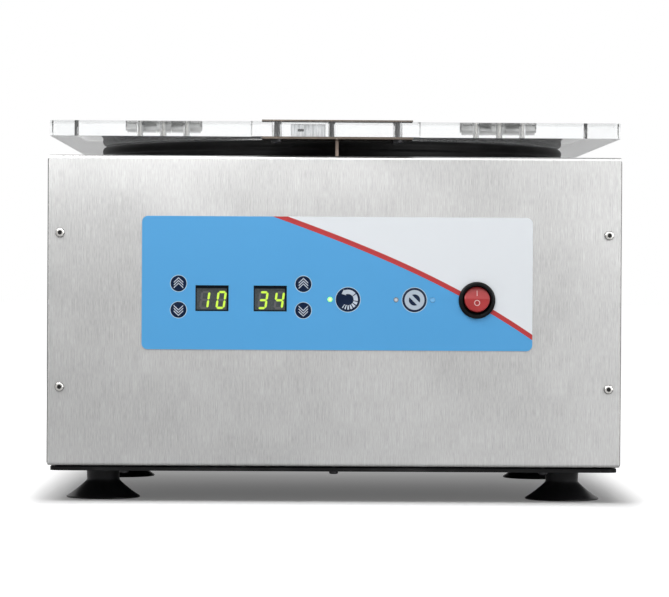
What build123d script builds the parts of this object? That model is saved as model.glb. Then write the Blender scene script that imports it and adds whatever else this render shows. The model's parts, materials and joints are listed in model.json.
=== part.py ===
from build123d import *
import os
from math import cos, radians, sin, tan

# Benchtop centrifuge: a stainless cabinet on four suction feet, a round chamber with an angle
# rotor under a hinged clear lid, and a keypad, two displays and a rocker switch on the front.
# Millimetres. X is to the right, Y runs from the front to the back and Z is up. The model is
# built about the middle of the cabinet and moved at the end, so that the origin is the bottom
# centre of the whole object's box.

# ---- Driving dimensions: cabinet ----
cabinet_width = 356.0
cabinet_depth = 356.0
cabinet_height = 192.2
sheet = 1.2                     # stainless sheet of the wrap, the sides and the bowl
bend_radius = 2.0               # outside radius of a folded edge
side_reveal = 0.8               # side panel that shows past the wrap's cut edge
flange_width = 12.0
flange_end_gap = 1.3            # from a side panel's inside face to the end of a wrap flange
notch_gap = 0.3

# ---- Base ----
foot_height = 19.5
foot_side_setback = 32.6        # from the cabinet's side to a foot's axis
front_foot_setback = 48.0       # from the cabinet's front face to a front foot's axis
rear_foot_setback = 97.0        # from the cabinet's back to a rear foot's axis
foot_stem_radius = 10.7
foot_stem_height = 8.7
foot_neck_radius = 10.3
foot_rim_radius = 23.3
foot_rim_height = 0.7
foot_lip_width = 2.2            # flat ring of the rim that stands on the bench
foot_flare_sag = 0.5
foot_cup_depth = 5.5
foot_screw_floor = 5.0          # rubber between a foot's screw and its cup
foot_screw_end_gap = 1.0
base_plate_thickness = 2.2
base_plate_inset = 2.0
base_plate_corner = 6.0
base_gasket_thickness = 1.0
base_gasket_inset = 5.0
base_gasket_width = 10.0
base_vent_length = 70.0
base_vent_width = 4.0
base_vent_pitch = 12.0
base_vent_count = 5
base_vent_offset_y = 118.0

# ---- Screws ----
small_screw_radius = 1.45
small_head_radius = 2.8
small_head_height = 1.7
small_screw_length = 7.0
large_screw_radius = 2.0
large_head_radius = 3.8
large_head_height = 2.3
socket_share = 0.42             # hex socket of a button head, as a share of the head's radius
socket_depth_share = 0.55       # the same, of the head's height
head_edge_share = 0.6           # rounding of a button head, as a share of its height
screw_gap = 0.1                 # radial gap of a screw in its hole
loose_screw_gap = 0.2           # the same, in rubber and acrylic
panel_screw_inset = 8.0         # from the cabinet's side to a screw of the front or back
panel_screw_heights = (48.6, 144.0)
base_screw_inset = 6.5
base_screw_reach = 130.0
base_screw_past_sheet = 3.0

# ---- Bowl and its gasket ----
bowl_side_gap = 28.0            # from the nearest side of the cabinet to the bowl
bowl_motor_gap = 18.5           # from the motor plate up to the bowl's underside
bowl_corner = 14.0
bowl_lip_height = 5.5           # lip above the top deck
bowl_hole_gap = 0.2
bowl_collar_radius = 16.0       # hole for the motor shaft
bowl_collar_height = 8.0
bowl_lug_width = 22.0
bowl_lug_reach = 14.0
bowl_lug_angles = (22.5, 67.5, 112.5, 157.5, 202.5, 247.5, 292.5, 337.5)
bowl_nut_radius = 4.0
bowl_nut_height = 4.5
stud_past_nut = 2.0
gasket_wall = 5.4               # rubber outside the bowl's lip
gasket_inner_wall = 3.0
gasket_channel_height = 4.6
gasket_shoulder = 1.4
gasket_bulb_sink = 0.4          # bulb sunk into the channel
gasket_lid_gap = 0.2

# ---- Lid, its latch plates and hinges ----
lid_gap = 11.5                  # from the top deck to the lid's underside
lid_thickness = 9.5
lid_side_setback = 1.7          # from the cabinet's side to the lid's
lid_overhang = 6.0              # past the cabinet's front face
lid_corner = 4.0
tab_half_width = 52.0
tab_reach = 5.0
tab_corner = 3.0
tab_root_radius = 1.8
latch_offset_x = 1.0
latch_plate_width = 93.0
latch_plate_depth = 24.0
latch_plate_thickness = 0.9
striker_plate_depth = 28.0
striker_plate_thickness = 1.3
latch_plate_setback = 0.5       # from the tab's front edge to the plates
latch_screw_reach = 37.4
latch_screw_setback = 13.0
latch_hole_radius = 3.0
centre_screw_offset = -3.4
striker_thickness = 1.9
striker_length = 12.0
striker_drop = 33.0             # below the striker plate
striker_setback = 6.0           # from the cabinet's front face to the tongue
striker_hole = 7.0              # square window for the bolt
striker_chamfer = 2.4
hinge_centre_x = 116.0
hinge_width = 51.0
hinge_leaf_thickness = 1.6
hinge_lid_leaf_depth = 28.0
hinge_cabinet_leaf_height = 38.0
hinge_barrel_radius = 4.0
hinge_pin_radius = 1.7
hinge_pin_head_radius = 2.5
hinge_pin_head_height = 1.2
hinge_running_gap = 0.05
hinge_knuckle_gap = 0.4
hinge_swing_gap = 0.5
hinge_cabinet_leaf_drop = 1.5   # from the barrel down to the flat of the cabinet's leaf
hinge_lid_leaf_setback = 1.0    # from the barrel forward to the flat of the lid's leaf
hinge_knuckles = 5
hinge_screw_spacing = 16.0
hinge_screw_setback = 18.0      # from the hinge axis to the screws in the lid
hinge_screw_drop = 28.0         # from the hinge axis to the screws in the cabinet's back
hinge_nut_height = 3.2
hinge_nut_radius = 3.8

# ---- Interlock: a magnet in the lid over a sensor under the deck ----
magnet_centre_x = -17.0
magnet_width = 21.0
magnet_depth = 9.0
magnet_height = 7.4
magnet_setback = 3.0            # from the tab's front edge
magnet_corner = 0.6
pocket_gap = 0.2
sensor_width = 14.0
sensor_height = 6.0
sensor_offset_x = -3.5          # from the magnet's middle

# ---- Latch block and solenoid under the deck ----
slot_width = 6.0
slot_margin_front = 3.0
slot_margin_back = 1.5
block_width = 26.0
block_height = 24.0
block_setback = 2.4
block_back_wall = 2.2
bolt_radius = 3.0
bolt_running_gap = 0.05
bolt_drop = 12.9                # from the deck's top to the bolt's axis
bolt_rest_gap = 0.6             # bolt tip inside the block's wall when drawn back
bolt_length = 30.0
bolt_chamfer = 0.6
bolt_travel = 8.6
bolt_end_gap = 4.0              # beyond the bolt's tip when it is fully out
solenoid_length = 36.0
solenoid_size = 19.0
solenoid_corner = 2.0
solenoid_bore_gap = 1.0         # behind the bolt when it is drawn back

# ---- Front panel: places are from the cabinet's middle and from its lower edge ----
overlay_thickness = 0.6
overlay_width = 241.8
overlay_height = 82.5
overlay_corner = 3.7
overlay_centre_x = 1.6
overlay_centre_height = 113.4
control_row_height = 103.5
key_pair_height = 104.8
key_pair_spacing = 16.3
time_key_x = -96.6
speed_key_x = -19.4
run_key_x = 8.2
stop_key_x = 49.4
small_key_radius = 4.65
large_key_radius = 7.25
key_gap = 0.3
key_proud = 0.3                 # cap face in front of the overlay
key_flange_width = 1.0
key_flange_thickness = 1.0
key_travel = 0.4
key_stem_radius = 2.0
key_stem_length = 3.0
key_contact_gap = 0.05          # between stem and switch at full travel
display_left_x = -75.9
display_right_x = -39.9
display_height_above_row = 0.4
window_width = 20.5
window_height = 16.0
display_margin = 2.0
display_gap = 0.2
lamp_run_x = -2.9
lamp_stop_x = 38.0
lamp_ready_x = 60.6
lamp_radius = 1.5
lamp_hole_gap = 0.1
lamp_proud = 0.3
board_setback = 11.0            # from the front face to the control board
board_thickness = 1.6
board_low_x = -110.0
board_high_x = 72.0
board_below_row = 30.0
board_above_row = 26.0
standoff_radius = 2.5
standoff_inset = 5.0
key_switch_size = 6.2
key_switch_depth = 3.8
key_switch_plunger_radius = 1.7

# ---- Rocker switch ----
rocker_x = 88.1
bezel_radius = 11.4
bezel_proud = 2.0
bezel_edge_radius = 1.4
switch_body_radius = 10.0
switch_body_depth = 19.0
switch_hole_gap = 0.1
rocker_aperture_radius = 9.0
rocker_well_depth = 9.0
rocker_radius = 7.9
rocker_thickness = 6.0
rocker_tilt = 10.0              # degrees each side of the middle
rocker_nose = 1.3               # how far the two halves fall back from the middle
rocker_pivot_setback = 3.0
rocker_edge_radius = 0.6

# ---- Back panel: mains inlet, fuse and vents ----
inlet_side_setback = 66.0       # from the cabinet's side to the inlet's middle
inlet_height = 42.0
inlet_width = 27.6
inlet_tall = 20.2
inlet_depth = 24.0
inlet_flange_width = 50.0
inlet_flange_tall = 25.0
inlet_flange_thickness = 2.4
inlet_flange_corner = 7.5
inlet_screw_spacing = 40.0
inlet_socket_width = 23.6
inlet_socket_tall = 16.2
inlet_socket_depth = 15.0
inlet_socket_chamfer = 4.0
inlet_pin_length = 12.0
inlet_pin_width = 4.0
inlet_pin_thickness = 2.0
inlet_pin_spacing = 7.0
inlet_pin_rise = 2.0
fuse_from_inlet = 46.0
fuse_body_radius = 6.0
fuse_body_depth = 28.0
fuse_cap_radius = 7.5
fuse_cap_depth = 6.0
fuse_cap_edge = 1.0
fuse_slot_length = 8.0
fuse_slot_width = 2.0
fuse_slot_depth = 1.5
vent_side_gap = 26.0            # from the cabinet's side to the vents
vent_width = 38.0
vent_tall = 3.2
vent_columns = 3
vent_rows = 7
vent_pitch_x = 46.0
vent_pitch_z = 9.0
vent_low_height = 24.0

# ---- Motor ----
motor_radius = 46.0
motor_height = 50.0
motor_wall = 3.0
motor_spigot_radius = 18.0
motor_spigot_height = 4.0
motor_floor_gap = 12.0          # from the base plate to the motor
motor_plate_width = 164.0
motor_plate_depth = 110.0
motor_plate_thickness = 3.0
isolator_radius = 9.0
isolator_height = 18.0
isolator_x = 68.0
isolator_y = 40.0
bracket_thickness = 2.5
bracket_length = 108.0
bracket_inner_x = 56.0
bracket_foot_width = 24.0
motor_screw_length = 9.0
bearing_radius = 11.0
bearing_height = 7.0
magnet_ring_thickness = 8.0
magnet_ring_height = 36.0
magnet_gap_half_angle = 25.0
armature_radius = 32.0
armature_height = 28.0
armature_slots = 12
armature_slot_depth = 9.0
armature_slot_width = 3.0
shaft_radius = 5.0
shaft_running_gap = 0.05
shaft_thread_radius = 4.0
shaft_thread_height = 12.0
shaft_shoulder_drop = 2.0       # from the hub's top to the thread's root
seal_shaft_gap = 0.6
seal_flange = 4.0
seal_flange_thickness = 1.5
seal_cone_width = 2.0
seal_cone_height = 4.0

# ---- Angle rotor ----
rotor_places = 6
sleeve_tilt = 40.0              # degrees from the spindle
rotor_top_below_lid = 30.4      # from the lid's underside down to the middle of a mouth
sleeve_inner_radius = 8.8
sleeve_wall = 1.4
sleeve_flange_width = 2.6
sleeve_flange_thickness = 2.0
sleeve_seat_gap = 0.1
cushion_thickness = 4.0
rotor_wall = 4.5                # metal round a sleeve, square to its axis
rotor_side_gap = 20.3           # from the head to the bowl's wall
rotor_floor_gap = 9.6           # from the head to the bowl's floor
pocket_floor = 4.0              # metal under a sleeve's round end
rotor_web_thickness = 9.0
rotor_web_drop = 12.0           # from the mouth circle's height to the web's top
hub_radius = 18.0
hub_height = 44.0
nut_radius = 11.0
nut_height = 12.0
nut_grooves = 12
nut_groove_radius = 1.2
nut_edge_radius = 2.0

# ---- Power board on the base ----
power_board_side_gap = 19.0     # from the cabinet's side
power_board_back_gap = 25.0     # from the cabinet's back
power_board_front_gap = 9.0     # from the motor brackets
power_board_width = 110.0
power_standoff_height = 8.0
transformer_size = (44.0, 38.0, 36.0)
heat_sink_size = (36.0, 18.0, 30.0)
heat_sink_fins = 6
heat_sink_base = 4.0
capacitor_count = 3
capacitor_radius = 9.0
capacitor_height = 26.0
capacitor_edge = 1.0
capacitor_pitch = 22.0

# ---- Places that follow from the sizes above ----
overrun = 1.0                   # how far a cutting shape runs past what it cuts
small_hole_radius = small_screw_radius + screw_gap
large_hole_radius = large_screw_radius + screw_gap
half_width = cabinet_width / 2
front = -cabinet_depth / 2
back = cabinet_depth / 2
base_plate_top = foot_height + base_plate_thickness
cabinet_bottom = base_plate_top + base_gasket_thickness
deck_top = cabinet_bottom + cabinet_height
deck_under = deck_top - sheet
wrap_half = half_width - side_reveal
foot_reach = half_width - foot_side_setback
foot_places = [
    (x, y)
    for x in (-foot_reach, foot_reach)
    for y in (front + front_foot_setback, back - rear_foot_setback)
]
panel_screw_places = [
    (x, cabinet_bottom + height)
    for x in (panel_screw_inset - half_width, half_width - panel_screw_inset)
    for height in panel_screw_heights
]
foot_screw_depth = foot_height - foot_cup_depth - foot_screw_floor
base_screw_places = [
    (x, y)
    for x in (-base_screw_reach, 0.0, base_screw_reach)
    for y in (front + base_screw_inset, back - base_screw_inset)
]

lid_bottom = deck_top + lid_gap
lid_top = lid_bottom + lid_thickness
hinge_y = back + hinge_barrel_radius
hinge_z = lid_bottom - hinge_leaf_thickness + hinge_barrel_radius
lid_front = front - lid_overhang
tab_front = lid_front - tab_reach
lid_rear = hinge_y - hinge_barrel_radius - hinge_swing_gap
lid_width = cabinet_width - 2 * lid_side_setback
hinge_bore_radius = hinge_pin_radius + hinge_running_gap
hinge_places = (-hinge_centre_x, hinge_centre_x)
hinge_screw_steps = (-hinge_screw_spacing, 0.0, hinge_screw_spacing)

plate_front = tab_front + latch_plate_setback
striker_plate_under = lid_bottom - striker_plate_thickness
latch_screw_y = plate_front + latch_screw_setback
latch_screw_places = [latch_offset_x - latch_screw_reach, latch_offset_x + latch_screw_reach]
centre_screw_x = latch_offset_x + centre_screw_offset
striker_front = front + striker_setback
striker_back = striker_front + striker_length
striker_tip = striker_plate_under - striker_drop
slot_front = striker_front - slot_margin_front
slot_back = striker_back + slot_margin_back
bolt_y = (striker_front + striker_back) / 2
bolt_z = deck_top - bolt_drop
bolt_tip = latch_offset_x + slot_width / 2 + bolt_rest_gap
block_right = latch_offset_x + block_width / 2
bolt_pocket = bolt_travel - bolt_rest_gap - slot_width + bolt_end_gap
magnet_front = tab_front + magnet_setback

overlay_face = front - overlay_thickness
row_z = cabinet_bottom + control_row_height
key_pair_z = cabinet_bottom + key_pair_height
small_keys = {
    "time_up_key": (time_key_x, key_pair_z + key_pair_spacing / 2),
    "time_down_key": (time_key_x, key_pair_z - key_pair_spacing / 2),
    "speed_up_key": (speed_key_x, key_pair_z + key_pair_spacing / 2),
    "speed_down_key": (speed_key_x, key_pair_z - key_pair_spacing / 2),
}
large_keys = {"run_key": (run_key_x, row_z), "stop_key": (stop_key_x, row_z)}
key_places = {name: (x, z, small_key_radius) for name, (x, z) in small_keys.items()}
key_places.update({name: (x, z, large_key_radius) for name, (x, z) in large_keys.items()})
display_z = row_z + display_height_above_row
display_places = (display_left_x, display_right_x)
unlit_lamps = (lamp_stop_x, lamp_ready_x)
board_front = front + board_setback
board_low_z = row_z - board_below_row
board_high_z = row_z + board_above_row
key_flange_front = front + sheet + key_travel
key_switch_tip = key_flange_front + key_flange_thickness + key_stem_length
rocker_pivot_y = front + rocker_pivot_setback
inlet_x = inlet_side_setback - half_width
inlet_z = cabinet_bottom + inlet_height
fuse_x = inlet_x + fuse_from_inlet
vent_low_x = half_width - vent_side_gap - vent_width - (vent_columns - 1) * vent_pitch_x

motor_bottom = base_plate_top + motor_floor_gap
motor_top = motor_bottom + motor_height
motor_plate_top = motor_top + motor_plate_thickness
spigot_top = motor_plate_top + motor_spigot_height
shaft_bore_radius = shaft_radius + shaft_running_gap
isolator_bottom = motor_top - isolator_height
isolator_places = [(x, y) for x in (-isolator_x, isolator_x) for y in (-isolator_y, isolator_y)]

bowl_radius = min(half_width, back) - bowl_side_gap
bowl_inner = bowl_radius - sheet
bowl_under = motor_plate_top + bowl_motor_gap
bowl_floor = bowl_under + sheet
bowl_lip_top = deck_top + bowl_lip_height
gasket_outer = bowl_radius + gasket_wall
gasket_bulb_height = lid_gap - gasket_lid_gap - gasket_channel_height + gasket_bulb_sink
gasket_bulb_radius = gasket_bulb_height / 2
gasket_bulb_z = lid_bottom - gasket_lid_gap - gasket_bulb_radius
gasket_bulb_centre = gasket_outer - gasket_shoulder - gasket_bulb_radius

mouth_z = lid_bottom - rotor_top_below_lid
sleeve_outer_radius = sleeve_inner_radius + sleeve_wall
sleeve_bore_radius = sleeve_outer_radius + sleeve_seat_gap
slope_out = sin(radians(sleeve_tilt))
slope_down = cos(radians(sleeve_tilt))
half_wall = sleeve_bore_radius + rotor_wall
rotor_top_edge = mouth_z - half_wall * slope_out
cone_length = (rotor_top_edge - bowl_floor - rotor_floor_gap) / slope_down
sleeve_length = cone_length - pocket_floor
cone_reach = half_wall * slope_down + cone_length * slope_out
sleeve_mouth_radius = bowl_inner - rotor_side_gap - cone_reach
hub_top = mouth_z - rotor_web_drop + rotor_web_thickness / 2
hub_bottom = hub_top - hub_height
shaft_bottom = motor_bottom + motor_wall
shaft_shoulder = hub_top - shaft_shoulder_drop
shaft_end = shaft_shoulder + shaft_thread_height
power_board_top = base_plate_top + power_standoff_height + board_thickness
power_board_rear = back - power_board_back_gap
power_board_depth = power_board_rear - power_board_front_gap - bracket_length / 2
power_board_y = power_board_rear - power_board_depth / 2
power_board_x = power_board_side_gap + power_board_width / 2 - half_width


# ---- Plain shapes ----
def slab(low_x, high_x, low_y, high_y, low_z, high_z):
    size = (high_x - low_x, high_y - low_y, high_z - low_z)
    middle = ((low_x + high_x) / 2, (low_y + high_y) / 2, (low_z + high_z) / 2)
    return Pos(*middle) * Box(*size)


def upright(x, y, low_z, high_z, radius):
    return Pos(x, y, (low_z + high_z) / 2) * Cylinder(radius, high_z - low_z)


def fore_and_aft(x, z, low_y, high_y, radius):
    return Pos(x, (low_y + high_y) / 2, z) * Rot(90, 0, 0) * Cylinder(radius, high_y - low_y)


def crosswise(y, z, low_x, high_x, radius):
    return Pos((low_x + high_x) / 2, y, z) * Rot(0, 90, 0) * Cylinder(radius, high_x - low_x)


def turned(*outline):
    """A solid of revolution about the spindle, from an outline of radius and height."""
    return revolve(Plane.XZ * make_face(outline), Axis.Z)


def corners(*points):
    return Polyline(*points, close=True)


def button_head(radius, height):
    """A round screw head standing on the plane below it, with its hex socket."""
    head = Pos(0, 0, height / 2) * Cylinder(radius, height)
    head = fillet(head.edges().group_by(Axis.Z)[-1], min(height, radius) * head_edge_share)
    socket = extrude(RegularPolygon(radius * socket_share, 6), height)
    return head - Pos(0, 0, height * (1 - socket_depth_share)) * socket


def screw(radius, head_radius, head_height, length):
    """A button-head screw whose head stands on z = 0 and whose shank hangs below."""
    return button_head(head_radius, head_height) + Pos(0, 0, -length / 2) * Cylinder(radius, length)


def small_screw(length=small_screw_length):
    return screw(small_screw_radius, small_head_radius, small_head_height, length)


def large_screw(length):
    return screw(large_screw_radius, large_head_radius, large_head_height, length)


def facing_front(x, y, z):
    return Pos(x, y, z) * Rot(90, 0, 0)


def facing_back(x, y, z):
    return Pos(x, y, z) * Rot(-90, 0, 0)


# ---- Cabinet ----
def cabinet_wrap():
    """One sheet folded into the front, the top deck and the back, with a flange under each end."""
    skin = RectangleRounded(cabinet_depth, cabinet_height, bend_radius)
    skin -= RectangleRounded(cabinet_depth - 2 * sheet, cabinet_height - 2 * sheet, bend_radius - sheet)
    middle = (cabinet_bottom + deck_top) / 2
    wrap = Pos(0, 0, middle) * extrude(Plane.YZ * skin, wrap_half, both=True)
    flange_reach = back - flange_width
    flange_under = cabinet_bottom - overrun
    wrap -= slab(-half_width, half_width, -flange_reach, flange_reach, flange_under, cabinet_bottom + sheet)
    flange_end = half_width - sheet - flange_end_gap
    for side in (-1, 1):
        low_x, high_x = sorted((side * flange_end, side * half_width))
        for low_y, high_y in ((front + sheet, -flange_reach), (flange_reach, back - sheet)):
            wrap -= slab(low_x, high_x, low_y, high_y, flange_under, cabinet_bottom + bend_radius)
    wrap -= upright(0, 0, deck_under - overrun, deck_top + overrun, bowl_radius + bowl_hole_gap)
    slot_low, slot_high = latch_offset_x - slot_width / 2, latch_offset_x + slot_width / 2
    wrap -= slab(slot_low, slot_high, slot_front, slot_back, deck_under - overrun, deck_top + overrun)
    wrap -= front_cuts(front - overrun, front + sheet + overrun)
    wrap -= back_cuts()
    for x, y in base_screw_places:
        wrap -= upright(x, y, flange_under, cabinet_bottom + sheet + overrun, small_hole_radius)
    return wrap


def front_cuts(low_y, high_y):
    """Everything that passes through the front sheet and its overlay."""
    cuts = [fore_and_aft(x, z, low_y, high_y, radius + key_gap) for x, z, radius in key_places.values()]
    for x in (lamp_run_x,) + unlit_lamps:
        cuts.append(fore_and_aft(x, row_z, low_y, high_y, lamp_radius + lamp_hole_gap))
    for x in display_places:
        half_w, half_h = window_width / 2, window_height / 2
        cuts.append(slab(x - half_w, x + half_w, low_y, high_y, display_z - half_h, display_z + half_h))
    cuts.append(fore_and_aft(rocker_x, row_z, low_y, high_y, switch_body_radius + switch_hole_gap))
    for x, z in panel_screw_places:
        cuts.append(fore_and_aft(x, z, low_y, high_y, small_hole_radius))
    return cuts


def back_cuts():
    low_y, high_y = back - sheet - overrun, back + overrun
    cuts = [fore_and_aft(x, z, low_y, high_y, small_hole_radius) for x, z in panel_screw_places]
    for centre in hinge_places:
        for step in hinge_screw_steps:
            z = hinge_z - hinge_screw_drop
            cuts.append(fore_and_aft(centre + step, z, low_y, high_y, small_hole_radius))
    half_w, half_h = inlet_width / 2 + screw_gap, inlet_tall / 2 + screw_gap
    cuts.append(slab(inlet_x - half_w, inlet_x + half_w, low_y, high_y, inlet_z - half_h, inlet_z + half_h))
    for side in (-1, 1):
        x = inlet_x + side * inlet_screw_spacing / 2
        cuts.append(fore_and_aft(x, inlet_z, low_y, high_y, small_hole_radius))
    cuts.append(fore_and_aft(fuse_x, inlet_z, low_y, high_y, fuse_body_radius + screw_gap))
    for column in range(vent_columns):
        for row in range(vent_rows):
            x = vent_low_x + column * vent_pitch_x
            z = cabinet_bottom + vent_low_height + row * vent_pitch_z
            cuts.append(slab(x, x + vent_width, low_y, high_y, z, z + vent_tall))
    return cuts


def side_panel(side):
    """A folded tray with a flange on all four edges, notched where the wrap's flanges lie."""
    depth, height = cabinet_depth - 2 * sheet, deck_under - cabinet_bottom
    middle_z = cabinet_bottom + height / 2
    tray = Pos(half_width - flange_width / 2, 0, middle_z) * Box(flange_width, depth, height)
    tray = fillet(tray.edges().group_by(Axis.X)[-1] + tray.edges().filter_by(Axis.X), bend_radius)
    hollow = Pos(half_width - sheet - flange_width / 2, 0, middle_z) * Box(
        flange_width, depth - 2 * sheet, height - 2 * sheet
    )
    inner_bends = hollow.edges().group_by(Axis.X)[-1] + hollow.edges().filter_by(Axis.X)
    tray -= fillet(inner_bends, bend_radius - sheet)
    notch_x = half_width - sheet - flange_end_gap + notch_gap
    notch_top = cabinet_bottom + bend_radius + notch_gap
    low_x, low_z = half_width - flange_width - overrun, cabinet_bottom - overrun
    for low_y, high_y in ((front, front + flange_width + notch_gap), (back - flange_width - notch_gap, back)):
        tray -= slab(low_x, notch_x, low_y, high_y, low_z, notch_top)
    for x, z in panel_screw_places:
        if x > 0:
            tray -= fore_and_aft(x, z, front, back, small_hole_radius)
    return tray if side > 0 else mirror(tray, Plane.YZ)


def panel_screws():
    solids = []
    for x, z in panel_screw_places:
        solids.append(facing_front(x, front, z) * small_screw())
        solids.append(facing_back(x, back, z) * small_screw())
    return solids


def base_plate():
    plate_width = cabinet_width - 2 * base_plate_inset
    plate_depth = cabinet_depth - 2 * base_plate_inset
    outline = RectangleRounded(plate_width, plate_depth, base_plate_corner)
    plate = Pos(0, 0, foot_height) * extrude(outline, base_plate_thickness)
    low_z, high_z = foot_height - overrun, base_plate_top + overrun
    for x, y in foot_places:
        plate -= upright(x, y, low_z, high_z, large_hole_radius)
    for x, y in base_screw_places:
        plate -= upright(x, y, low_z, high_z, small_hole_radius)
    for side in (-1, 1):
        for step in range(base_vent_count):
            y = side * (base_vent_offset_y - step * base_vent_pitch)
            low_y, high_y = y - base_vent_width / 2, y + base_vent_width / 2
            reach = base_vent_length / 2
            plate -= slab(-reach, reach, low_y, high_y, low_z, high_z)
    return plate


def base_gasket():
    width = cabinet_width - 2 * base_gasket_inset
    depth = cabinet_depth - 2 * base_gasket_inset
    outline = RectangleRounded(width, depth, base_plate_corner / 2)
    outline -= Rectangle(width - 2 * base_gasket_width, depth - 2 * base_gasket_width)
    strip = Pos(0, 0, base_plate_top) * extrude(outline, base_gasket_thickness)
    hole_radius = small_screw_radius + loose_screw_gap
    for x, y in base_screw_places:
        strip -= upright(x, y, base_plate_top - overrun, cabinet_bottom + overrun, hole_radius)
    return strip


def base_screws():
    """Screws from below through the base plate into the wrap, and one into each foot from above."""
    length = base_plate_thickness + base_gasket_thickness + sheet + base_screw_past_sheet
    solids = [Pos(x, y, foot_height) * Rot(180, 0, 0) * small_screw(length) for x, y in base_screw_places]
    reach = base_plate_thickness + foot_screw_depth
    solids += [Pos(x, y, base_plate_top) * large_screw(reach) for x, y in foot_places]
    return solids


def suction_feet():
    """Moulded rubber feet: a stem, a thin flared skirt and a hollow cup under it."""
    neck_z = foot_height - foot_stem_height
    neck, rim_top = (foot_neck_radius, neck_z), (foot_rim_radius, foot_rim_height)
    flare_mid = (
        (foot_neck_radius + foot_rim_radius) / 2 - foot_flare_sag,
        (neck_z + foot_rim_height) / 2 - foot_flare_sag,
    )
    lip = foot_rim_radius - foot_lip_width
    outline = [
        Line((0, foot_height), (foot_stem_radius, foot_height)),
        Line((foot_stem_radius, foot_height), neck),
        ThreePointArc(neck, flare_mid, rim_top),
        Line(rim_top, (foot_rim_radius, 0)),
        Line((foot_rim_radius, 0), (lip, 0)),
        Line((lip, 0), (foot_neck_radius, foot_cup_depth)),
        Line((foot_neck_radius, foot_cup_depth), (0, foot_cup_depth)),
        Line((0, foot_cup_depth), (0, foot_height)),
    ]
    foot = turned(*outline)
    hole_end = foot_height - foot_screw_depth - foot_screw_end_gap
    foot -= upright(0, 0, hole_end, foot_height + overrun, large_screw_radius)
    return [Pos(x, y, 0) * foot for x, y in foot_places]


# ---- Bowl ----
def bowl():
    """Deep-drawn chamber hung under the deck on welded lugs, with a collar round the spindle."""
    outer, inner, corner = bowl_radius, bowl_inner, bowl_corner
    bend_z = bowl_under + corner
    collar_top = bowl_floor + bowl_collar_height
    collar_outer = bowl_collar_radius + sheet
    arc = cos(radians(45))
    outline = [
        Line((outer, bowl_lip_top), (outer, bend_z)),
        ThreePointArc(
            (outer, bend_z),
            (outer - corner + corner * arc, bend_z - corner * arc),
            (outer - corner, bowl_under),
        ),
        Line((outer - corner, bowl_under), (bowl_collar_radius, bowl_under)),
        Line((bowl_collar_radius, bowl_under), (bowl_collar_radius, collar_top)),
        Line((bowl_collar_radius, collar_top), (collar_outer, collar_top)),
        Line((collar_outer, collar_top), (collar_outer, bowl_floor)),
        Line((collar_outer, bowl_floor), (outer - corner, bowl_floor)),
        ThreePointArc(
            (outer - corner, bowl_floor),
            (outer - corner + (corner - sheet) * arc, bend_z - (corner - sheet) * arc),
            (inner, bend_z),
        ),
        Line((inner, bend_z), (inner, bowl_lip_top)),
        Line((inner, bowl_lip_top), (outer, bowl_lip_top)),
    ]
    shell = turned(*outline)
    half = bowl_lug_width / 2
    weld_radius = bowl_inner + sheet / 2
    low_z, high_z = deck_under - sheet, deck_under
    lug = slab(weld_radius, bowl_radius + bowl_lug_reach, -half, half, low_z, high_z)
    lug -= upright(0, 0, low_z - overrun, high_z + overrun, weld_radius)
    lug -= upright(bowl_radius + bowl_lug_reach / 2, 0, low_z - overrun, high_z + overrun, large_hole_radius)
    for angle in bowl_lug_angles:
        shell += Rot(0, 0, angle) * lug
    return shell


def bowl_nuts():
    """Weld studs of the deck with their nuts, one at each lug."""
    stud_end = deck_under - sheet - bowl_nut_height - stud_past_nut
    stud = upright(0, 0, stud_end, deck_under, large_screw_radius)
    nut = extrude(RegularPolygon(bowl_nut_radius, 6), -bowl_nut_height)
    stud += Pos(0, 0, deck_under - sheet) * nut
    distance = bowl_radius + bowl_lug_reach / 2
    return [Rot(0, 0, angle) * Pos(distance, 0, 0) * stud for angle in bowl_lug_angles]


def bowl_gasket():
    """Rubber edge trim: a channel gripping the bowl's lip, with a soft bulb on top."""
    inner = bowl_inner - gasket_inner_wall
    shoulder_z = deck_top + gasket_channel_height + gasket_shoulder
    channel = corners(
        (inner, deck_top),
        (gasket_outer, deck_top),
        (gasket_outer, deck_top + gasket_channel_height),
        (gasket_outer - gasket_shoulder, shoulder_z),
        (inner + gasket_shoulder, shoulder_z),
        (inner, deck_top + gasket_channel_height),
    )
    lip = corners(
        (bowl_inner, deck_top),
        (bowl_radius, deck_top),
        (bowl_radius, bowl_lip_top),
        (bowl_inner, bowl_lip_top),
    )
    section = make_face(channel) + Pos(gasket_bulb_centre, gasket_bulb_z) * Circle(gasket_bulb_radius)
    return revolve(Plane.XZ * (section - make_face(lip)), Axis.Z)


def shaft_seal():
    """Rubber boot pressed into the bowl's collar, just clear of the turning shaft."""
    hole = shaft_radius + seal_shaft_gap
    top = bowl_floor + bowl_collar_height
    return turned(
        corners(
            (hole, bowl_under),
            (bowl_collar_radius, bowl_under),
            (bowl_collar_radius, top),
            (bowl_collar_radius + seal_flange, top),
            (bowl_collar_radius + seal_flange, top + seal_flange_thickness),
            (hole + seal_cone_width, top + seal_cone_height),
            (hole, top + seal_cone_height),
        )
    )


# ---- Motor ----
def motor_can():
    """Hollow motor housing with a bearing boss in each end and a spigot on top."""
    hollow_radius = motor_radius - motor_wall
    can = upright(0, 0, motor_bottom, motor_top, motor_radius)
    can = fillet(can.edges().group_by(Axis.Z)[0], motor_wall)
    can += upright(0, 0, motor_top, spigot_top, motor_spigot_radius)
    can -= upright(0, 0, motor_bottom + motor_wall, motor_top - motor_wall, hollow_radius)
    for low, high in bearing_spans():
        can += upright(0, 0, low, high, bearing_radius + motor_wall)
        can -= upright(0, 0, low, high, bearing_radius)
    shaft_hole = shaft_radius + seal_shaft_gap
    return can - upright(0, 0, motor_top - motor_wall - overrun, spigot_top + overrun, shaft_hole)


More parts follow.
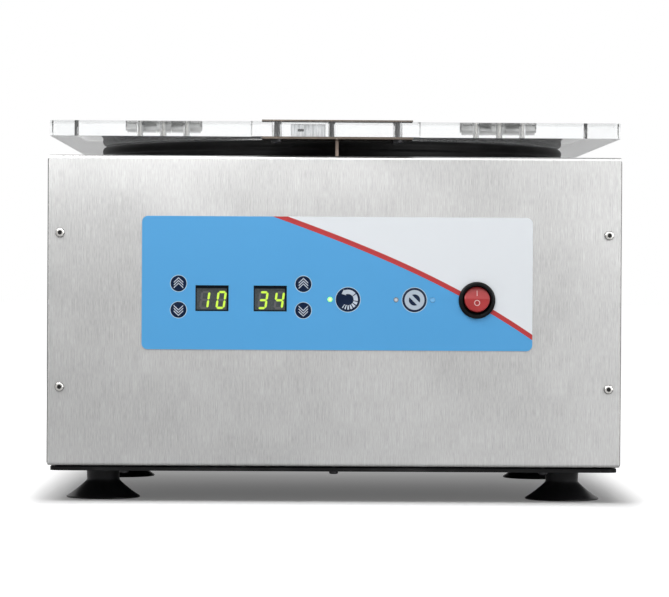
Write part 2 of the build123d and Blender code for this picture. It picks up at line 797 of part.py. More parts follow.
def bearing_spans():
    low = motor_bottom + motor_wall
    high = motor_top - motor_wall
    return ((low, low + bearing_height), (high - bearing_height, high))


def motor_bearings():
    solids = []
    for low, high in bearing_spans():
        race = upright(0, 0, low, high, bearing_radius)
        solids.append(race - upright(0, 0, low, high, shaft_bore_radius))
    return solids


def motor_magnets():
    """Two curved field magnets glued inside the can."""
    outer = motor_radius - motor_wall
    low = (motor_bottom + motor_top - magnet_ring_height) / 2
    ring = upright(0, 0, low, low + magnet_ring_height, outer)
    ring -= upright(0, 0, low, low + magnet_ring_height, outer - magnet_ring_thickness)
    half_gap = outer * tan(radians(magnet_gap_half_angle)) / 2
    ring -= slab(-outer, outer, -half_gap, half_gap, low, low + magnet_ring_height)
    return ring.solids()


def motor_plate():
    half_w, half_d = motor_plate_width / 2, motor_plate_depth / 2
    plate = slab(-half_w, half_w, -half_d, half_d, motor_top, motor_plate_top)
    plate = fillet(plate.edges().filter_by(Axis.Z), isolator_radius)
    plate -= upright(0, 0, motor_top - overrun, motor_plate_top + overrun, motor_spigot_radius + screw_gap)
    for x, y in isolator_places:
        plate -= upright(x, y, motor_top - overrun, motor_plate_top + overrun, large_hole_radius)
    return plate


def motor_isolators():
    solids = []
    for x, y in isolator_places:
        post = upright(x, y, isolator_bottom, motor_top, isolator_radius)
        depth = motor_screw_length - motor_plate_thickness
        solids.append(post - upright(x, y, motor_top - depth, motor_top, large_screw_radius))
    return solids


def motor_screws():
    return [Pos(x, y, motor_plate_top) * large_screw(motor_screw_length) for x, y in isolator_places]


def motor_brackets():
    """Two folded brackets that carry the isolators from the base plate."""
    t = bracket_thickness
    top = isolator_bottom
    web = bracket_inner_x + bracket_foot_width
    section = corners(
        (bracket_inner_x, top),
        (web, top),
        (web, base_plate_top + t),
        (web + bracket_foot_width, base_plate_top + t),
        (web + bracket_foot_width, base_plate_top),
        (web - t, base_plate_top),
        (web - t, top - t),
        (bracket_inner_x, top - t),
    )
    right = extrude(Plane.XZ * make_face(section), bracket_length / 2, both=True)
    return [right, mirror(right, Plane.YZ)]


def motor_shaft():
    shaft = upright(0, 0, shaft_bottom, shaft_shoulder, shaft_radius)
    return shaft + upright(0, 0, shaft_shoulder, shaft_end, shaft_thread_radius)


def motor_armature():
    middle = (motor_bottom + motor_top) / 2
    low, high = middle - armature_height / 2, middle + armature_height / 2
    core = upright(0, 0, low, high, armature_radius)
    slot_root = armature_radius - armature_slot_depth
    half = armature_slot_width / 2
    slot = slab(slot_root, armature_radius + overrun, -half, half, low - overrun, high + overrun)
    for step in range(armature_slots):
        core -= Rot(0, 0, step * 360 / armature_slots) * slot
    return core - upright(0, 0, low - overrun, high + overrun, shaft_radius)


# ---- Angle rotor ----
def along_sleeve(place):
    """The frame of one sleeve: its origin is the mouth's middle and its Z points out of the mouth."""
    turn = Rot(0, 0, place * 360 / rotor_places)
    return turn * Pos(sleeve_mouth_radius, 0, mouth_z) * Rot(0, -sleeve_tilt, 0)


def rotor_body():
    """Turned alloy head: a thick cone wall with a pocket for each sleeve, a web and a hub."""

    def on_cone(across, down):
        radius = sleeve_mouth_radius + across * slope_down + down * slope_out
        return (radius, mouth_z + across * slope_out - down * slope_down)

    cone = turned(
        corners(
            on_cone(-half_wall, 0),
            on_cone(half_wall, 0),
            on_cone(half_wall, cone_length),
            on_cone(-half_wall, cone_length),
        )
    )
    web_top = mouth_z - rotor_web_drop
    inner_face = on_cone(-half_wall, 0)
    web_middle = web_top - rotor_web_thickness / 2
    web_radius = inner_face[0] + (inner_face[1] - web_middle) * slope_out / slope_down
    web = upright(0, 0, web_top - rotor_web_thickness, web_top, web_radius + rotor_wall)
    body = cone + web + upright(0, 0, hub_bottom, hub_top, hub_radius)
    straight = sleeve_length - sleeve_outer_radius
    pocket = Pos(0, 0, -straight / 2) * Cylinder(sleeve_bore_radius, straight)
    pocket += Pos(0, 0, -straight) * Sphere(sleeve_bore_radius)
    seat = sleeve_outer_radius + sleeve_flange_width + sleeve_seat_gap
    pocket += Pos(0, 0, half_wall / 2) * Cylinder(seat, half_wall)
    body -= [along_sleeve(place) * pocket for place in range(rotor_places)]
    return body - upright(0, 0, hub_bottom - overrun, hub_top + overrun, shaft_radius)


def tube_sleeves():
    """Round-bottomed tube shields that hang in the head by their flanges."""
    end = -sleeve_length
    top = sleeve_flange_thickness / 2
    arc = cos(radians(45))

    def cup(radius, bottom):
        bend = bottom + radius
        return [
            Line((0, top), (radius, top)),
            Line((radius, top), (radius, bend)),
            ThreePointArc((radius, bend), (radius * arc, bend - radius * arc), (0, bottom)),
            Line((0, bottom), (0, top)),
        ]

    flange = sleeve_outer_radius + sleeve_flange_width
    sleeve = turned(*cup(sleeve_outer_radius, end))
    sleeve += Pos(0, 0, sleeve_flange_thickness / 2) * Cylinder(flange, sleeve_flange_thickness)
    sleeve -= turned(*cup(sleeve_inner_radius, end + sleeve_wall))
    sleeve -= Pos(0, 0, sleeve_flange_thickness) * Cylinder(sleeve_inner_radius, 2 * sleeve_flange_thickness)
    return [along_sleeve(place) * sleeve for place in range(rotor_places)]


def tube_cushions():
    """A rubber pad in the bottom of each sleeve."""
    radius = sleeve_inner_radius
    arc = cos(radians(45))
    bottom = sleeve_wall - sleeve_length
    bend = bottom + radius
    top = bend + cushion_thickness / 2
    dish = bottom + cushion_thickness
    outline = [
        Line((0, dish), (0, bottom)),
        ThreePointArc((0, bottom), (radius * arc, bend - radius * arc), (radius, bend)),
        Line((radius, bend), (radius, top)),
        Line((radius, top), (radius / 2, dish)),
        Line((radius / 2, dish), (0, dish)),
    ]
    pad = turned(*outline)
    return [along_sleeve(place) * pad for place in range(rotor_places)]


def rotor_nut():
    """Fluted knob that holds the head on the shaft."""
    low, high = hub_top, hub_top + nut_height
    nut = upright(0, 0, low, high, nut_radius)
    nut = fillet(nut.edges().group_by(Axis.Z)[-1], nut_edge_radius)
    groove = upright(nut_radius, 0, low - overrun, high + overrun, nut_groove_radius)
    nut -= [Rot(0, 0, step * 360 / nut_grooves) * groove for step in range(nut_grooves)]
    return nut - upright(0, 0, low - overrun, shaft_end, shaft_thread_radius)


# ---- Lid ----
def lid_panel():
    """Clear plate with rounded corners and a shallow finger tab in the middle of its front edge."""
    depth = lid_rear - lid_front
    outline = Pos(0, (lid_front + lid_rear) / 2) * RectangleRounded(lid_width, depth, lid_corner)
    tab = Pos(0, lid_front) * RectangleRounded(2 * tab_half_width, 2 * tab_reach, tab_corner)
    outline = outline + tab
    roots = [
        vertex
        for vertex in outline.vertices()
        if abs(vertex.Y - lid_front) < tab_root_radius and abs(vertex.X) < tab_half_width + tab_root_radius
    ]
    outline = fillet(roots, tab_root_radius)
    plate = Pos(0, 0, lid_bottom) * extrude(outline, lid_thickness)
    for x in latch_screw_places:
        plate -= upright(x, latch_screw_y, lid_bottom - overrun, lid_top + overrun, latch_hole_radius)
    hole_radius = large_screw_radius + loose_screw_gap
    plate -= upright(centre_screw_x, latch_screw_y, lid_bottom - overrun, lid_top + overrun, hole_radius)
    for centre in hinge_places:
        for step in hinge_screw_steps:
            y = hinge_y - hinge_screw_setback
            plate -= upright(centre + step, y, lid_bottom - overrun, lid_top + overrun, hole_radius)
    half = magnet_width / 2 + pocket_gap
    low_x, high_x = magnet_centre_x - half, magnet_centre_x + half
    low_y, high_y = magnet_front - pocket_gap, magnet_front + magnet_depth + pocket_gap
    pocket_top = lid_bottom + magnet_height + pocket_gap
    return plate - slab(low_x, high_x, low_y, high_y, lid_bottom - overrun, pocket_top)


def plate_slab(depth, low_z, high_z):
    half = latch_plate_width / 2
    low_x, high_x = latch_offset_x - half, latch_offset_x + half
    return slab(low_x, high_x, plate_front, plate_front + depth, low_z, high_z)


def latch_plate():
    """Thin washer plate on top of the lid, over the striker."""
    plate = plate_slab(latch_plate_depth, lid_top, lid_top + latch_plate_thickness)
    for x in latch_screw_places + [centre_screw_x]:
        plate -= upright(x, latch_screw_y, lid_top - overrun, lid_top + 2 * overrun, large_screw_radius)
    return plate


def striker_bracket():
    """Plate under the lid with the striker tongue welded on edge below it."""
    bracket = plate_slab(striker_plate_depth, striker_plate_under, lid_bottom)
    low_z, high_z = striker_plate_under - overrun, lid_bottom + overrun
    for x in latch_screw_places + [centre_screw_x]:
        bracket -= upright(x, latch_screw_y, low_z, high_z, large_screw_radius)
    low_x = latch_offset_x - striker_thickness / 2
    high_x = low_x + striker_thickness
    tongue = slab(low_x, high_x, striker_front, striker_back, striker_tip, striker_plate_under)
    tongue = chamfer(tongue.edges().filter_by(Axis.X).group_by(Axis.Z)[0], striker_chamfer)
    tongue -= Pos(latch_offset_x, bolt_y, bolt_z) * Box(2 * striker_thickness, striker_hole, striker_hole)
    return bracket + tongue


def latch_plate_screws():
    """Two screws with domed heads under the striker plate, and a flush one beside the tongue."""
    plate_top = lid_top + latch_plate_thickness
    domed = Rot(180, 0, 0) * large_screw(plate_top - striker_plate_under)
    solids = [Pos(x, latch_screw_y, striker_plate_under) * domed for x in latch_screw_places]
    solids.append(upright(centre_screw_x, latch_screw_y, striker_plate_under, plate_top, large_screw_radius))
    return solids


def interlock_magnet():
    low_x, high_x = magnet_centre_x - magnet_width / 2, magnet_centre_x + magnet_width / 2
    high_y, high_z = magnet_front + magnet_depth, lid_bottom + magnet_height
    block = slab(low_x, high_x, magnet_front, high_y, lid_bottom, high_z)
    return fillet(block.edges().filter_by(Axis.Z), magnet_corner)


def knuckle_spans():
    """Start and end of each knuckle along a hinge, from its left end."""
    pitch = hinge_width / hinge_knuckles
    starts = [step * pitch - hinge_width / 2 for step in range(hinge_knuckles)]
    return [(start, start + pitch) for start in starts]


def hinge_leaf(spans, flat, web):
    """A leaf with its rolled knuckles, about the hinge axis; web joins one knuckle to the flat."""
    leaf = flat
    for low, high in spans:
        low, high = low + hinge_knuckle_gap / 2, high - hinge_knuckle_gap / 2
        leaf += crosswise(0, 0, low, high, hinge_barrel_radius) + web(low, high)
    return leaf - crosswise(0, 0, -hinge_width, hinge_width, hinge_bore_radius)


def cabinet_hinge_leaves():
    """Leaves screwed to the cabinet's back; their three knuckles carry the pin."""
    r, t, half = hinge_barrel_radius, hinge_leaf_thickness, hinge_width / 2
    clear = -r - hinge_cabinet_leaf_drop
    flat = slab(-half, half, -r, t - r, clear - hinge_cabinet_leaf_height, clear)
    spans = knuckle_spans()[0::2]
    leaf = hinge_leaf(spans, flat, lambda low, high: slab(low, high, -r, t - r, clear, 0))
    for step in hinge_screw_steps:
        leaf -= fore_and_aft(step, -hinge_screw_drop, -r - overrun, t - r + overrun, small_hole_radius)
    return [Pos(x, hinge_y, hinge_z) * leaf for x in hinge_places]


def lid_hinge_leaves():
    """Leaves under the lid's rear edge; their two knuckles turn on the pin."""
    r, t, half = hinge_barrel_radius, hinge_leaf_thickness, hinge_width / 2
    clear = -r - hinge_lid_leaf_setback
    flat = slab(-half, half, clear - hinge_lid_leaf_depth, clear, -r, t - r)
    spans = knuckle_spans()[1::2]
    leaf = hinge_leaf(spans, flat, lambda low, high: slab(low, high, clear, 0, -r, t - r))
    for step in hinge_screw_steps:
        leaf -= upright(step, -hinge_screw_setback, -r - overrun, t - r + overrun, large_hole_radius)
    return [Pos(x, hinge_y, hinge_z) * leaf for x in hinge_places]


def hinge_pins():
    half = hinge_width / 2 - hinge_knuckle_gap / 2
    end = half + hinge_pin_head_height
    pin = crosswise(0, 0, -end, end, hinge_pin_radius)
    for low, high in ((-end, -half), (half, end)):
        pin += crosswise(0, 0, low, high, hinge_pin_head_radius)
    return [Pos(x, hinge_y, hinge_z) * pin for x in hinge_places]


def cabinet_hinge_screws():
    y = back + hinge_leaf_thickness
    z = hinge_z - hinge_screw_drop
    places = [centre + step for centre in hinge_places for step in hinge_screw_steps]
    return [facing_back(x, y, z) * small_screw() for x in places]


def lid_hinge_screws():
    """Screws down through the lid and the leaf, each with a hex nut under the leaf."""
    length = lid_thickness + hinge_leaf_thickness + hinge_nut_height
    bolt = large_screw(length)
    bolt += Pos(0, 0, -length) * extrude(RegularPolygon(hinge_nut_radius, 6), hinge_nut_height)
    y = hinge_y - hinge_screw_setback
    places = [centre + step for centre in hinge_places for step in hinge_screw_steps]
    return [Pos(x, y, lid_top) * bolt for x in places]


# ---- Latch ----
def latch_block():
    """Guide block under the deck slot; the bolt crosses its slot from the right."""
    half = block_width / 2
    low_y, high_y = front + block_setback, slot_back + block_back_wall
    block = slab(latch_offset_x - half, block_right, low_y, high_y, deck_under - block_height, deck_under)
    slot_low, slot_high = latch_offset_x - slot_width / 2, latch_offset_x + slot_width / 2
    low_z, high_z = deck_under - block_height - overrun, deck_under + overrun
    block -= slab(slot_low, slot_high, slot_front, slot_back, low_z, high_z)
    radius = bolt_radius + bolt_running_gap
    return block - crosswise(bolt_y, bolt_z, slot_low - bolt_pocket, block_right + overrun, radius)


def latch_solenoid():
    middle = Pos(block_right + solenoid_length / 2, bolt_y, bolt_z)
    coil = middle * Box(solenoid_length, solenoid_size, solenoid_size)
    coil = fillet(coil.edges().filter_by(Axis.X), solenoid_corner)
    bore_end = bolt_tip + bolt_length + solenoid_bore_gap
    return coil - crosswise(bolt_y, bolt_z, block_right - overrun, bore_end, bolt_radius + bolt_running_gap)


def latch_bolt():
    bolt = crosswise(bolt_y, bolt_z, bolt_tip, bolt_tip + bolt_length, bolt_radius)
    return chamfer(bolt.edges().group_by(Axis.X)[0], bolt_chamfer)


def interlock_sensor():
    low_x = magnet_centre_x + sensor_offset_x - sensor_width / 2
    high_y = slot_front + magnet_depth
    return slab(low_x, low_x + sensor_width, slot_front, high_y, deck_under - sensor_height, deck_under)


# ---- Front panel ----
def panel_overlay():
    outline = RectangleRounded(overlay_width, overlay_height, overlay_corner)
    place = Pos(overlay_centre_x, front, cabinet_bottom + overlay_centre_height)
    skin = place * extrude(Plane.XZ * outline, overlay_thickness)
    return skin - front_cuts(overlay_face - overrun, front + overrun)


def key(x, z, radius):
    """A hard cap with a retaining flange behind the sheet and a stem to its switch."""
    cap_front = overlay_face - key_proud
    flange_back = key_flange_front + key_flange_thickness
    cap = fore_and_aft(x, z, cap_front, key_flange_front, radius)
    cap = fillet(cap.edges().group_by(Axis.Y)[0], key_proud)
    cap += fore_and_aft(x, z, key_flange_front, flange_back, radius + key_flange_width)
    stem_end = key_switch_tip - key_travel - key_contact_gap
    return cap + fore_and_aft(x, z, flange_back, stem_end, key_stem_radius)


def key_switches():
    half = key_switch_size / 2
    solids = []
    for x, z, _ in key_places.values():
        body = slab(x - half, x + half, board_front - key_switch_depth, board_front, z - half, z + half)
        body += fore_and_aft(x, z, key_switch_tip, board_front - key_switch_depth, key_switch_plunger_radius)
        solids.append(body)
    return solids


def display_modules():
    half_w, half_h = window_width / 2 + display_margin, window_height / 2 + display_margin
    low_y = front + sheet + display_gap
    low_z, high_z = display_z - half_h, display_z + half_h
    return [slab(x - half_w, x + half_w, low_y, board_front, low_z, high_z) for x in display_places]


def lamp(x):
    """A clear light pipe from the control board to the panel's face."""
    pipe = fore_and_aft(x, row_z, overlay_face - lamp_proud, board_front, lamp_radius)
    return fillet(pipe.edges().group_by(Axis.Y)[0], lamp_proud)


def control_board():
    board_back = board_front + board_thickness
    return slab(board_low_x, board_high_x, board_front, board_back, board_low_z, board_high_z)


def power_corners():
    """Where the power board's standoffs stand."""
    half_w, half_d = power_board_width / 2 - standoff_inset, power_board_depth / 2 - standoff_inset
    places = (power_board_x - half_w, power_board_x + half_w)
    return [(x, power_board_y + step) for x in places for step in (-half_d, half_d)]


def board_standoffs():
    solids = []
    for x in (board_low_x + standoff_inset, board_high_x - standoff_inset):
        for z in (board_low_z + standoff_inset, board_high_z - standoff_inset):
            solids.append(fore_and_aft(x, z, front + sheet, board_front, standoff_radius))
    for x, y in power_corners():
        solids.append(upright(x, y, base_plate_top, base_plate_top + power_standoff_height, standoff_radius))
    return solids


def switch_body():
    """Round snap-in switch: a bezel in front, the body behind and a well for the rocker."""
    bezel_front = overlay_face - bezel_proud
    bezel = fore_and_aft(rocker_x, row_z, bezel_front, overlay_face, bezel_radius)
    bezel = fillet(bezel.edges().group_by(Axis.Y)[0], bezel_edge_radius)
    body_end = front + switch_body_depth
    body = bezel + fore_and_aft(rocker_x, row_z, overlay_face, body_end, switch_body_radius)
    well_end = bezel_front + rocker_well_depth + bezel_proud
    return body - fore_and_aft(rocker_x, row_z, bezel_front - overrun, well_end, rocker_aperture_radius)


def power_rocker():
    """The red rocker in its on position: the upper half pressed in, the lower half out."""
    face = rocker_pivot_setback + overlay_thickness + bezel_proud
    disc = fore_and_aft(0, 0, -face, rocker_thickness - face, rocker_radius)
    reach = rocker_radius + overrun
    ahead = -face - overrun
    for side in (-1, 1):
        wedge = corners((ahead, 0), (-face, 0), (rocker_nose - face, side * reach), (ahead, side * reach))
        disc -= extrude(Plane.YZ * make_face(wedge), reach, both=True)
    disc = fillet(disc.edges().filter_by(GeomType.ELLIPSE), rocker_edge_radius)
    return Pos(rocker_x, rocker_pivot_y, row_z) * Rot(-rocker_tilt, 0, 0) * disc


# ---- Back panel ----
def inlet_block(width, tall, low_y, high_y):
    middle = Pos(inlet_x, (low_y + high_y) / 2, inlet_z)
    return middle * Box(width, high_y - low_y, tall)


def power_inlet():
    """Three-pin mains inlet with a screwed flange and a socket open to the back."""
    face = back + inlet_flange_thickness
    body = inlet_block(inlet_width, inlet_tall, back - inlet_depth, back)
    flange = inlet_block(inlet_flange_width, inlet_flange_tall, back, face)
    body += fillet(flange.edges().filter_by(Axis.Y), inlet_flange_corner)
    well = inlet_block(inlet_socket_width, inlet_socket_tall, face - inlet_socket_depth, face + overrun)
    upper = well.edges().filter_by(Axis.Y).group_by(Axis.Z)[-1]
    body -= chamfer(upper, inlet_socket_chamfer)
    for side in (-1, 1):
        x = inlet_x + side * inlet_screw_spacing / 2
        body -= fore_and_aft(x, inlet_z, back - overrun, face + overrun, small_hole_radius)
    return body


def inlet_pins():
    floor = back + inlet_flange_thickness - inlet_socket_depth
    places = [(inlet_x, inlet_z + inlet_pin_rise)]
    places += [(inlet_x + side * inlet_pin_spacing, inlet_z - inlet_pin_rise) for side in (-1, 1)]
    pin = Box(inlet_pin_thickness, inlet_pin_length, inlet_pin_width)
    return [Pos(x, floor + inlet_pin_length / 2, z) * pin for x, z in places]


def inlet_screws():
    y = back + inlet_flange_thickness
    places = (inlet_x - inlet_screw_spacing / 2, inlet_x + inlet_screw_spacing / 2)
    return [facing_back(x, y, inlet_z) * small_screw() for x in places]


def fuse_holder():
    body = fore_and_aft(fuse_x, inlet_z, back - fuse_body_depth, back, fuse_body_radius)
    cap = fore_and_aft(fuse_x, inlet_z, back, back + fuse_cap_depth, fuse_cap_radius)
    cap = fillet(cap.edges().group_by(Axis.Y)[-1], fuse_cap_edge)
    slot = Box(fuse_slot_length, 2 * fuse_slot_depth, fuse_slot_width)
    return body + cap - Pos(fuse_x, back + fuse_cap_depth, inlet_z) * slot


# ---- Power board ----
def on_power_board(x, y, size):
    """A block that stands on the power board, with its middle at x, y from the board's middle."""
    wide, deep, tall = size
    return Pos(power_board_x + x, power_board_y + y, power_board_top + tall / 2) * Box(wide, deep, tall)


def power_board():
    board = Box(power_board_width, power_board_depth, board_thickness)
    return Pos(power_board_x, power_board_y, power_board_top - board_thickness / 2) * board


def power_parts():
    """Transformer, finned heat sink and capacitors on the power board."""
    across, along = power_board_width / 4, power_board_depth / 4
    solids = [on_power_board(-across, -along, transformer_size)]
    wide, deep, tall = heat_sink_size
    sink = on_power_board(across, -along - (deep - heat_sink_base) / 2, (wide, heat_sink_base, tall))
    pitch = wide / heat_sink_fins
    for fin in range(heat_sink_fins):
        x = across + (fin + 0.5) * pitch - wide / 2
        sink += on_power_board(x, -along, (pitch / 2, deep, tall))
    solids.append(sink)
    for step in range(capacitor_count):
        x = power_board_x + (step - (capacitor_count - 1) / 2) * capacitor_pitch
        low, high = power_board_top, power_board_top + capacitor_height
        can = upright(x, power_board_y + along, low, high, capacitor_radius)
        solids.append(fillet(can.edges().group_by(Axis.Z)[-1], capacitor_edge))
    return solids


# ---- The assembly: one entry for each node ----
nodes = {
    "cabinet_wrap": cabinet_wrap(),
    "side_panel_left": side_panel(-1),
    "side_panel_right": side_panel(1),
    "panel_screws": panel_screws(),
    "base_plate": base_plate(),
    "base_gasket": base_gasket(),
    "base_screws": base_screws(),
    "suction_feet": suction_feet(),
    "bowl": bowl(),
    "bowl_nuts": bowl_nuts(),
    "bowl_gasket": bowl_gasket(),
    "shaft_seal": shaft_seal(),
    "motor_can": motor_can(),
    "motor_magnets": motor_magnets(),
    "motor_bearings": motor_bearings(),
    "motor_plate": motor_plate(),
    "motor_isolators": motor_isolators(),
    "motor_screws": motor_screws(),
    "motor_brackets": motor_brackets(),
    "panel_overlay": panel_overlay(),
    "display_modules": display_modules(),
    "lamp_run": lamp(lamp_run_x),
    "lamps_unlit": [lamp(x) for x in unlit_lamps],
    "control_board": control_board(),
    "key_switches": key_switches(),
    "board_standoffs": board_standoffs(),
    "switch_body": switch_body(),
    "power_inlet": power_inlet(),
    "inlet_pins": inlet_pins(),
    "inlet_screws": inlet_screws(),
    "fuse_holder": fuse_holder(),
    "power_board": power_board(),
    "power_parts": power_parts(),
    "latch_block": latch_block(),
    "latch_solenoid": latch_solenoid(),
    "interlock_sensor": interlock_sensor(),
    "cabinet_hinge_leaves": cabinet_hinge_leaves(),
    "hinge_pins": hinge_pins(),
    "cabinet_hinge_screws": cabinet_hinge_screws(),
    "lid_panel": lid_panel(),
    "latch_plate": latch_plate(),
    "striker_bracket": striker_bracket(),
    "latch_plate_screws": latch_plate_screws(),
    "lid_hinge_leaves": lid_hinge_leaves(),
    "lid_hinge_screws": lid_hinge_screws(),
    "interlock_magnet": interlock_magnet(),
    "motor_shaft": motor_shaft(),
    "motor_armature": motor_armature(),
    "rotor_body": rotor_body(),
    "rotor_nut": rotor_nut(),
    "tube_sleeves": tube_sleeves(),
    "tube_cushions": tube_cushions(),
    "power_rocker": power_rocker(),
    "latch_bolt": latch_bolt(),
}
nodes.update({name: key(*place) for name, place in key_places.items()})

foremost = min(tab_front, overlay_face - bezel_proud)
rearmost = max(
    hinge_y + hinge_barrel_radius, back + fuse_cap_depth, back + inlet_flange_thickness + small_head_height
)
to_origin = Pos(0, -(foremost + rearmost) / 2, 0)

os.makedirs("parts", exist_ok=True)
for name, made in nodes.items():
    shapes = made if isinstance(made, list) else [made]
    solids = [to_origin * solid for shape in shapes for solid in shape.solids()]
    export_step(solids[0] if len(solids) == 1 else Compound(solids), f"parts/{name}.step")
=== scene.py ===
import json
from math import asin, cos, pi, radians, sin

import bmesh
import bpy
from mathutils import Matrix, Vector

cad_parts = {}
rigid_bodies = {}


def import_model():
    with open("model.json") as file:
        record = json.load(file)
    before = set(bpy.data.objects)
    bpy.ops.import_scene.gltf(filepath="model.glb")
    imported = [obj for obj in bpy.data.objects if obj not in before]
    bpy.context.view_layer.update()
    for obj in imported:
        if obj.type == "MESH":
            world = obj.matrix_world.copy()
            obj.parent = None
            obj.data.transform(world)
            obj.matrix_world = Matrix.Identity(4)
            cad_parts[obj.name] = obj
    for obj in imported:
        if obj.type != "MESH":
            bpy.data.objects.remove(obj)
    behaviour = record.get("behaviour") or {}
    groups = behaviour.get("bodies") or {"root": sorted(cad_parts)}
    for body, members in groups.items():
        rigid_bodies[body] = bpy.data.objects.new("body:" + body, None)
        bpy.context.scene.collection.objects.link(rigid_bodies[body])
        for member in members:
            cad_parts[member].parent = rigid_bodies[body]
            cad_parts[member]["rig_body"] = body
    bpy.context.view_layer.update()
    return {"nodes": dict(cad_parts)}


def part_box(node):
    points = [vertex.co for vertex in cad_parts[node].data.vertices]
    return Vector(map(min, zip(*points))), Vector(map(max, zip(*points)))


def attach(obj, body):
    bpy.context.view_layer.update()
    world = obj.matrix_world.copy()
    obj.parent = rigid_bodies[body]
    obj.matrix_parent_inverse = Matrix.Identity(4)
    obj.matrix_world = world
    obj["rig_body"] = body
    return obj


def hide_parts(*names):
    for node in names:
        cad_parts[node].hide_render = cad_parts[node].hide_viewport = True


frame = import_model()

# ---- Camera ----
# A long lens at the height of the keypad, two metres in front of the machine and a little to the
# left of its middle.
front_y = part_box("cabinet_wrap")[0].y
lens = bpy.data.cameras.new("camera")
lens.sensor_width = 36
lens.lens = 169.73
lens.clip_end = 60
camera = bpy.data.objects.new("camera", lens)
bpy.context.scene.collection.objects.link(camera)
bpy.context.scene.camera = camera
turn_right, tip_down, lean = 0.01303, 0.00824, 0.00568
camera.matrix_world = (
    Matrix.Translation((-0.02555, front_y - 1.95192, 0.14292))
    @ Matrix.Rotation(-turn_right, 4, "Z")
    @ Matrix.Rotation(pi / 2 - tip_down, 4, "X")
    @ Matrix.Rotation(lean, 4, "Z")
)
bpy.context.scene.view_settings.view_transform = "Standard"


# ---- Studio ----
# A white floor and a white surround. A broad soft lamp hangs above the front, and two weaker ones
# stand at the right and behind. Two small ones near the front only gleam on metal and gloss, so
# that the shine falls off down the steel. The floor glows where it is clear of the machine's shadow,
# and as painted light it also glows a little under the machine, more towards the back, and cuts the
# shadow short at the sides.
class Tone:
    """A shader socket that is added, scaled and compared like a number."""

    def __init__(self, tree, socket):
        self.tree = tree
        self.socket = socket

    def made(self, kind, settings, inputs, output=0):
        """A new node in the same tree: its settings come first, then its sockets."""
        node = self.tree.nodes.new(kind)
        for name, value in settings.items():
            setattr(node, name, value)
        for name, value in inputs.items():
            if isinstance(value, Tone):
                self.tree.links.new(value.socket, node.inputs[name])
            else:
                node.inputs[name].default_value = value
        return Tone(self.tree, node.outputs[output])

    def reckon(self, operation, first, second):
        """One Math node, of which either side may be a plain number."""
        return self.made("ShaderNodeMath", {"operation": operation}, {0: first, 1: second})

    def __add__(self, other):
        return self.reckon("ADD", self, other)

    __radd__ = __add__

    def __sub__(self, other):
        return self.reckon("SUBTRACT", self, other)

    def __rsub__(self, other):
        return self.reckon("SUBTRACT", other, self)

    def __mul__(self, other):
        return self.reckon("MULTIPLY", self, other)

    __rmul__ = __mul__

    def __truediv__(self, other):
        return self.reckon("DIVIDE", self, other)

    def __pow__(self, other):
        return self.reckon("POWER", self, other)

    def __abs__(self):
        return self.reckon("ABSOLUTE", self, 0.0)

    def rising(self, low, high):
        """0 below low, 1 above high and smooth between."""
        return self.made(
            "ShaderNodeMapRange",
            {"interpolation_type": "SMOOTHSTEP"},
            {"Value": self, "From Min": low, "From Max": high},
        )

    def noise(self, size, detail=2.0):
        """Noise over this point, in spots of about this size; three sizes draw it out along an axis."""
        spread = (size, size, size) if isinstance(size, float) else size
        scaled = self.made(
            "ShaderNodeVectorMath", {"operation": "MULTIPLY"}, {0: self, 1: [1 / s for s in spread]}
        )
        return self.made("ShaderNodeTexNoise", {}, {"Vector": scaled, "Scale": 1.0, "Detail": detail})

    def between(self, first, second):
        """A colour that goes from first to second as this tone goes from 0 to 1."""
        return self.made("ShaderNodeMix", {"data_type": "RGBA"}, {0: self, 6: first, 7: second}, 2)


def seen_directly(tree, *rays):
    """1 for rays of these kinds, and 0 for the light that falls on the object."""
    path = tree.nodes.new("ShaderNodeLightPath")
    seen = sum(Tone(tree, path.outputs[ray]) for ray in rays)
    return seen.reckon("MINIMUM", seen, 1.0)


seen_ways = ("Is Camera Ray", "Is Glossy Ray", "Is Transmission Ray")


surround = bpy.data.worlds.new("surround")
bpy.context.scene.world = surround
surround.use_nodes = True
sky = surround.node_tree.nodes["Background"]
sky.inputs["Color"].default_value = (1, 1, 1, 1)
ambient, backdrop = 0.34, 1.0
strength = ambient + (backdrop - ambient) * seen_directly(surround.node_tree, *seen_ways)
surround.node_tree.links.new(strength.socket, sky.inputs["Strength"])

floor_mesh = bpy.data.meshes.new("studio_floor")
floor_reach = 12.0
corners = ((-1, -1), (1, -1), (1, 1), (-1, 1))
floor_mesh.from_pydata([(floor_reach * x, floor_reach * y, 0) for x, y in corners], [], [(0, 1, 2, 3)])
floor = bpy.data.objects.new("studio_floor", floor_mesh)
bpy.context.scene.collection.objects.link(floor)
floor_paint = bpy.data.materials.new("studio_floor")
floor_paint.use_nodes = True
floor_tree = floor_paint.node_tree
floor_shader = floor_tree.nodes["Principled BSDF"]
floor_shader.inputs["Base Color"].default_value = (0.80, 0.80, 0.80, 1)
floor_shader.inputs["Roughness"].default_value = 1.0
floor_shader.inputs["Specular IOR Level"].default_value = 0.0
floor_shader.inputs["Emission Color"].default_value = (1, 1, 1, 1)
floor_place = Tone(floor_tree, floor_tree.nodes.new("ShaderNodeTexCoord").outputs["Object"])
floor_axes = floor_place.made("ShaderNodeSeparateXYZ", {}, {0: floor_place}).socket.node.outputs
# Painted light in the shadow: beside the machine the glow takes over three times as fast, and under it the
# glow grows towards the back.
under_half, shadow_reach, side_haste = 0.176, 0.10, 3.0
past_side, past_front = (abs(Tone(floor_tree, floor_axes[way])) - under_half for way in (0, 1))
past_side = side_haste * past_side.reckon("MAXIMUM", past_side, 0.0)
past_front = past_front.reckon("MAXIMUM", past_front, 0.0)
far_away = ((past_side * past_side + past_front * past_front) ** 0.5).rising(0.0, shadow_reach)
behind = Tone(floor_tree, floor_axes[1]).rising(-0.10, 0.30)
far_glow, gleam_glow, under_glow, rear_glow = 0.75, 0.20, 0.13, 0.30
near_glow = under_glow + rear_glow * behind
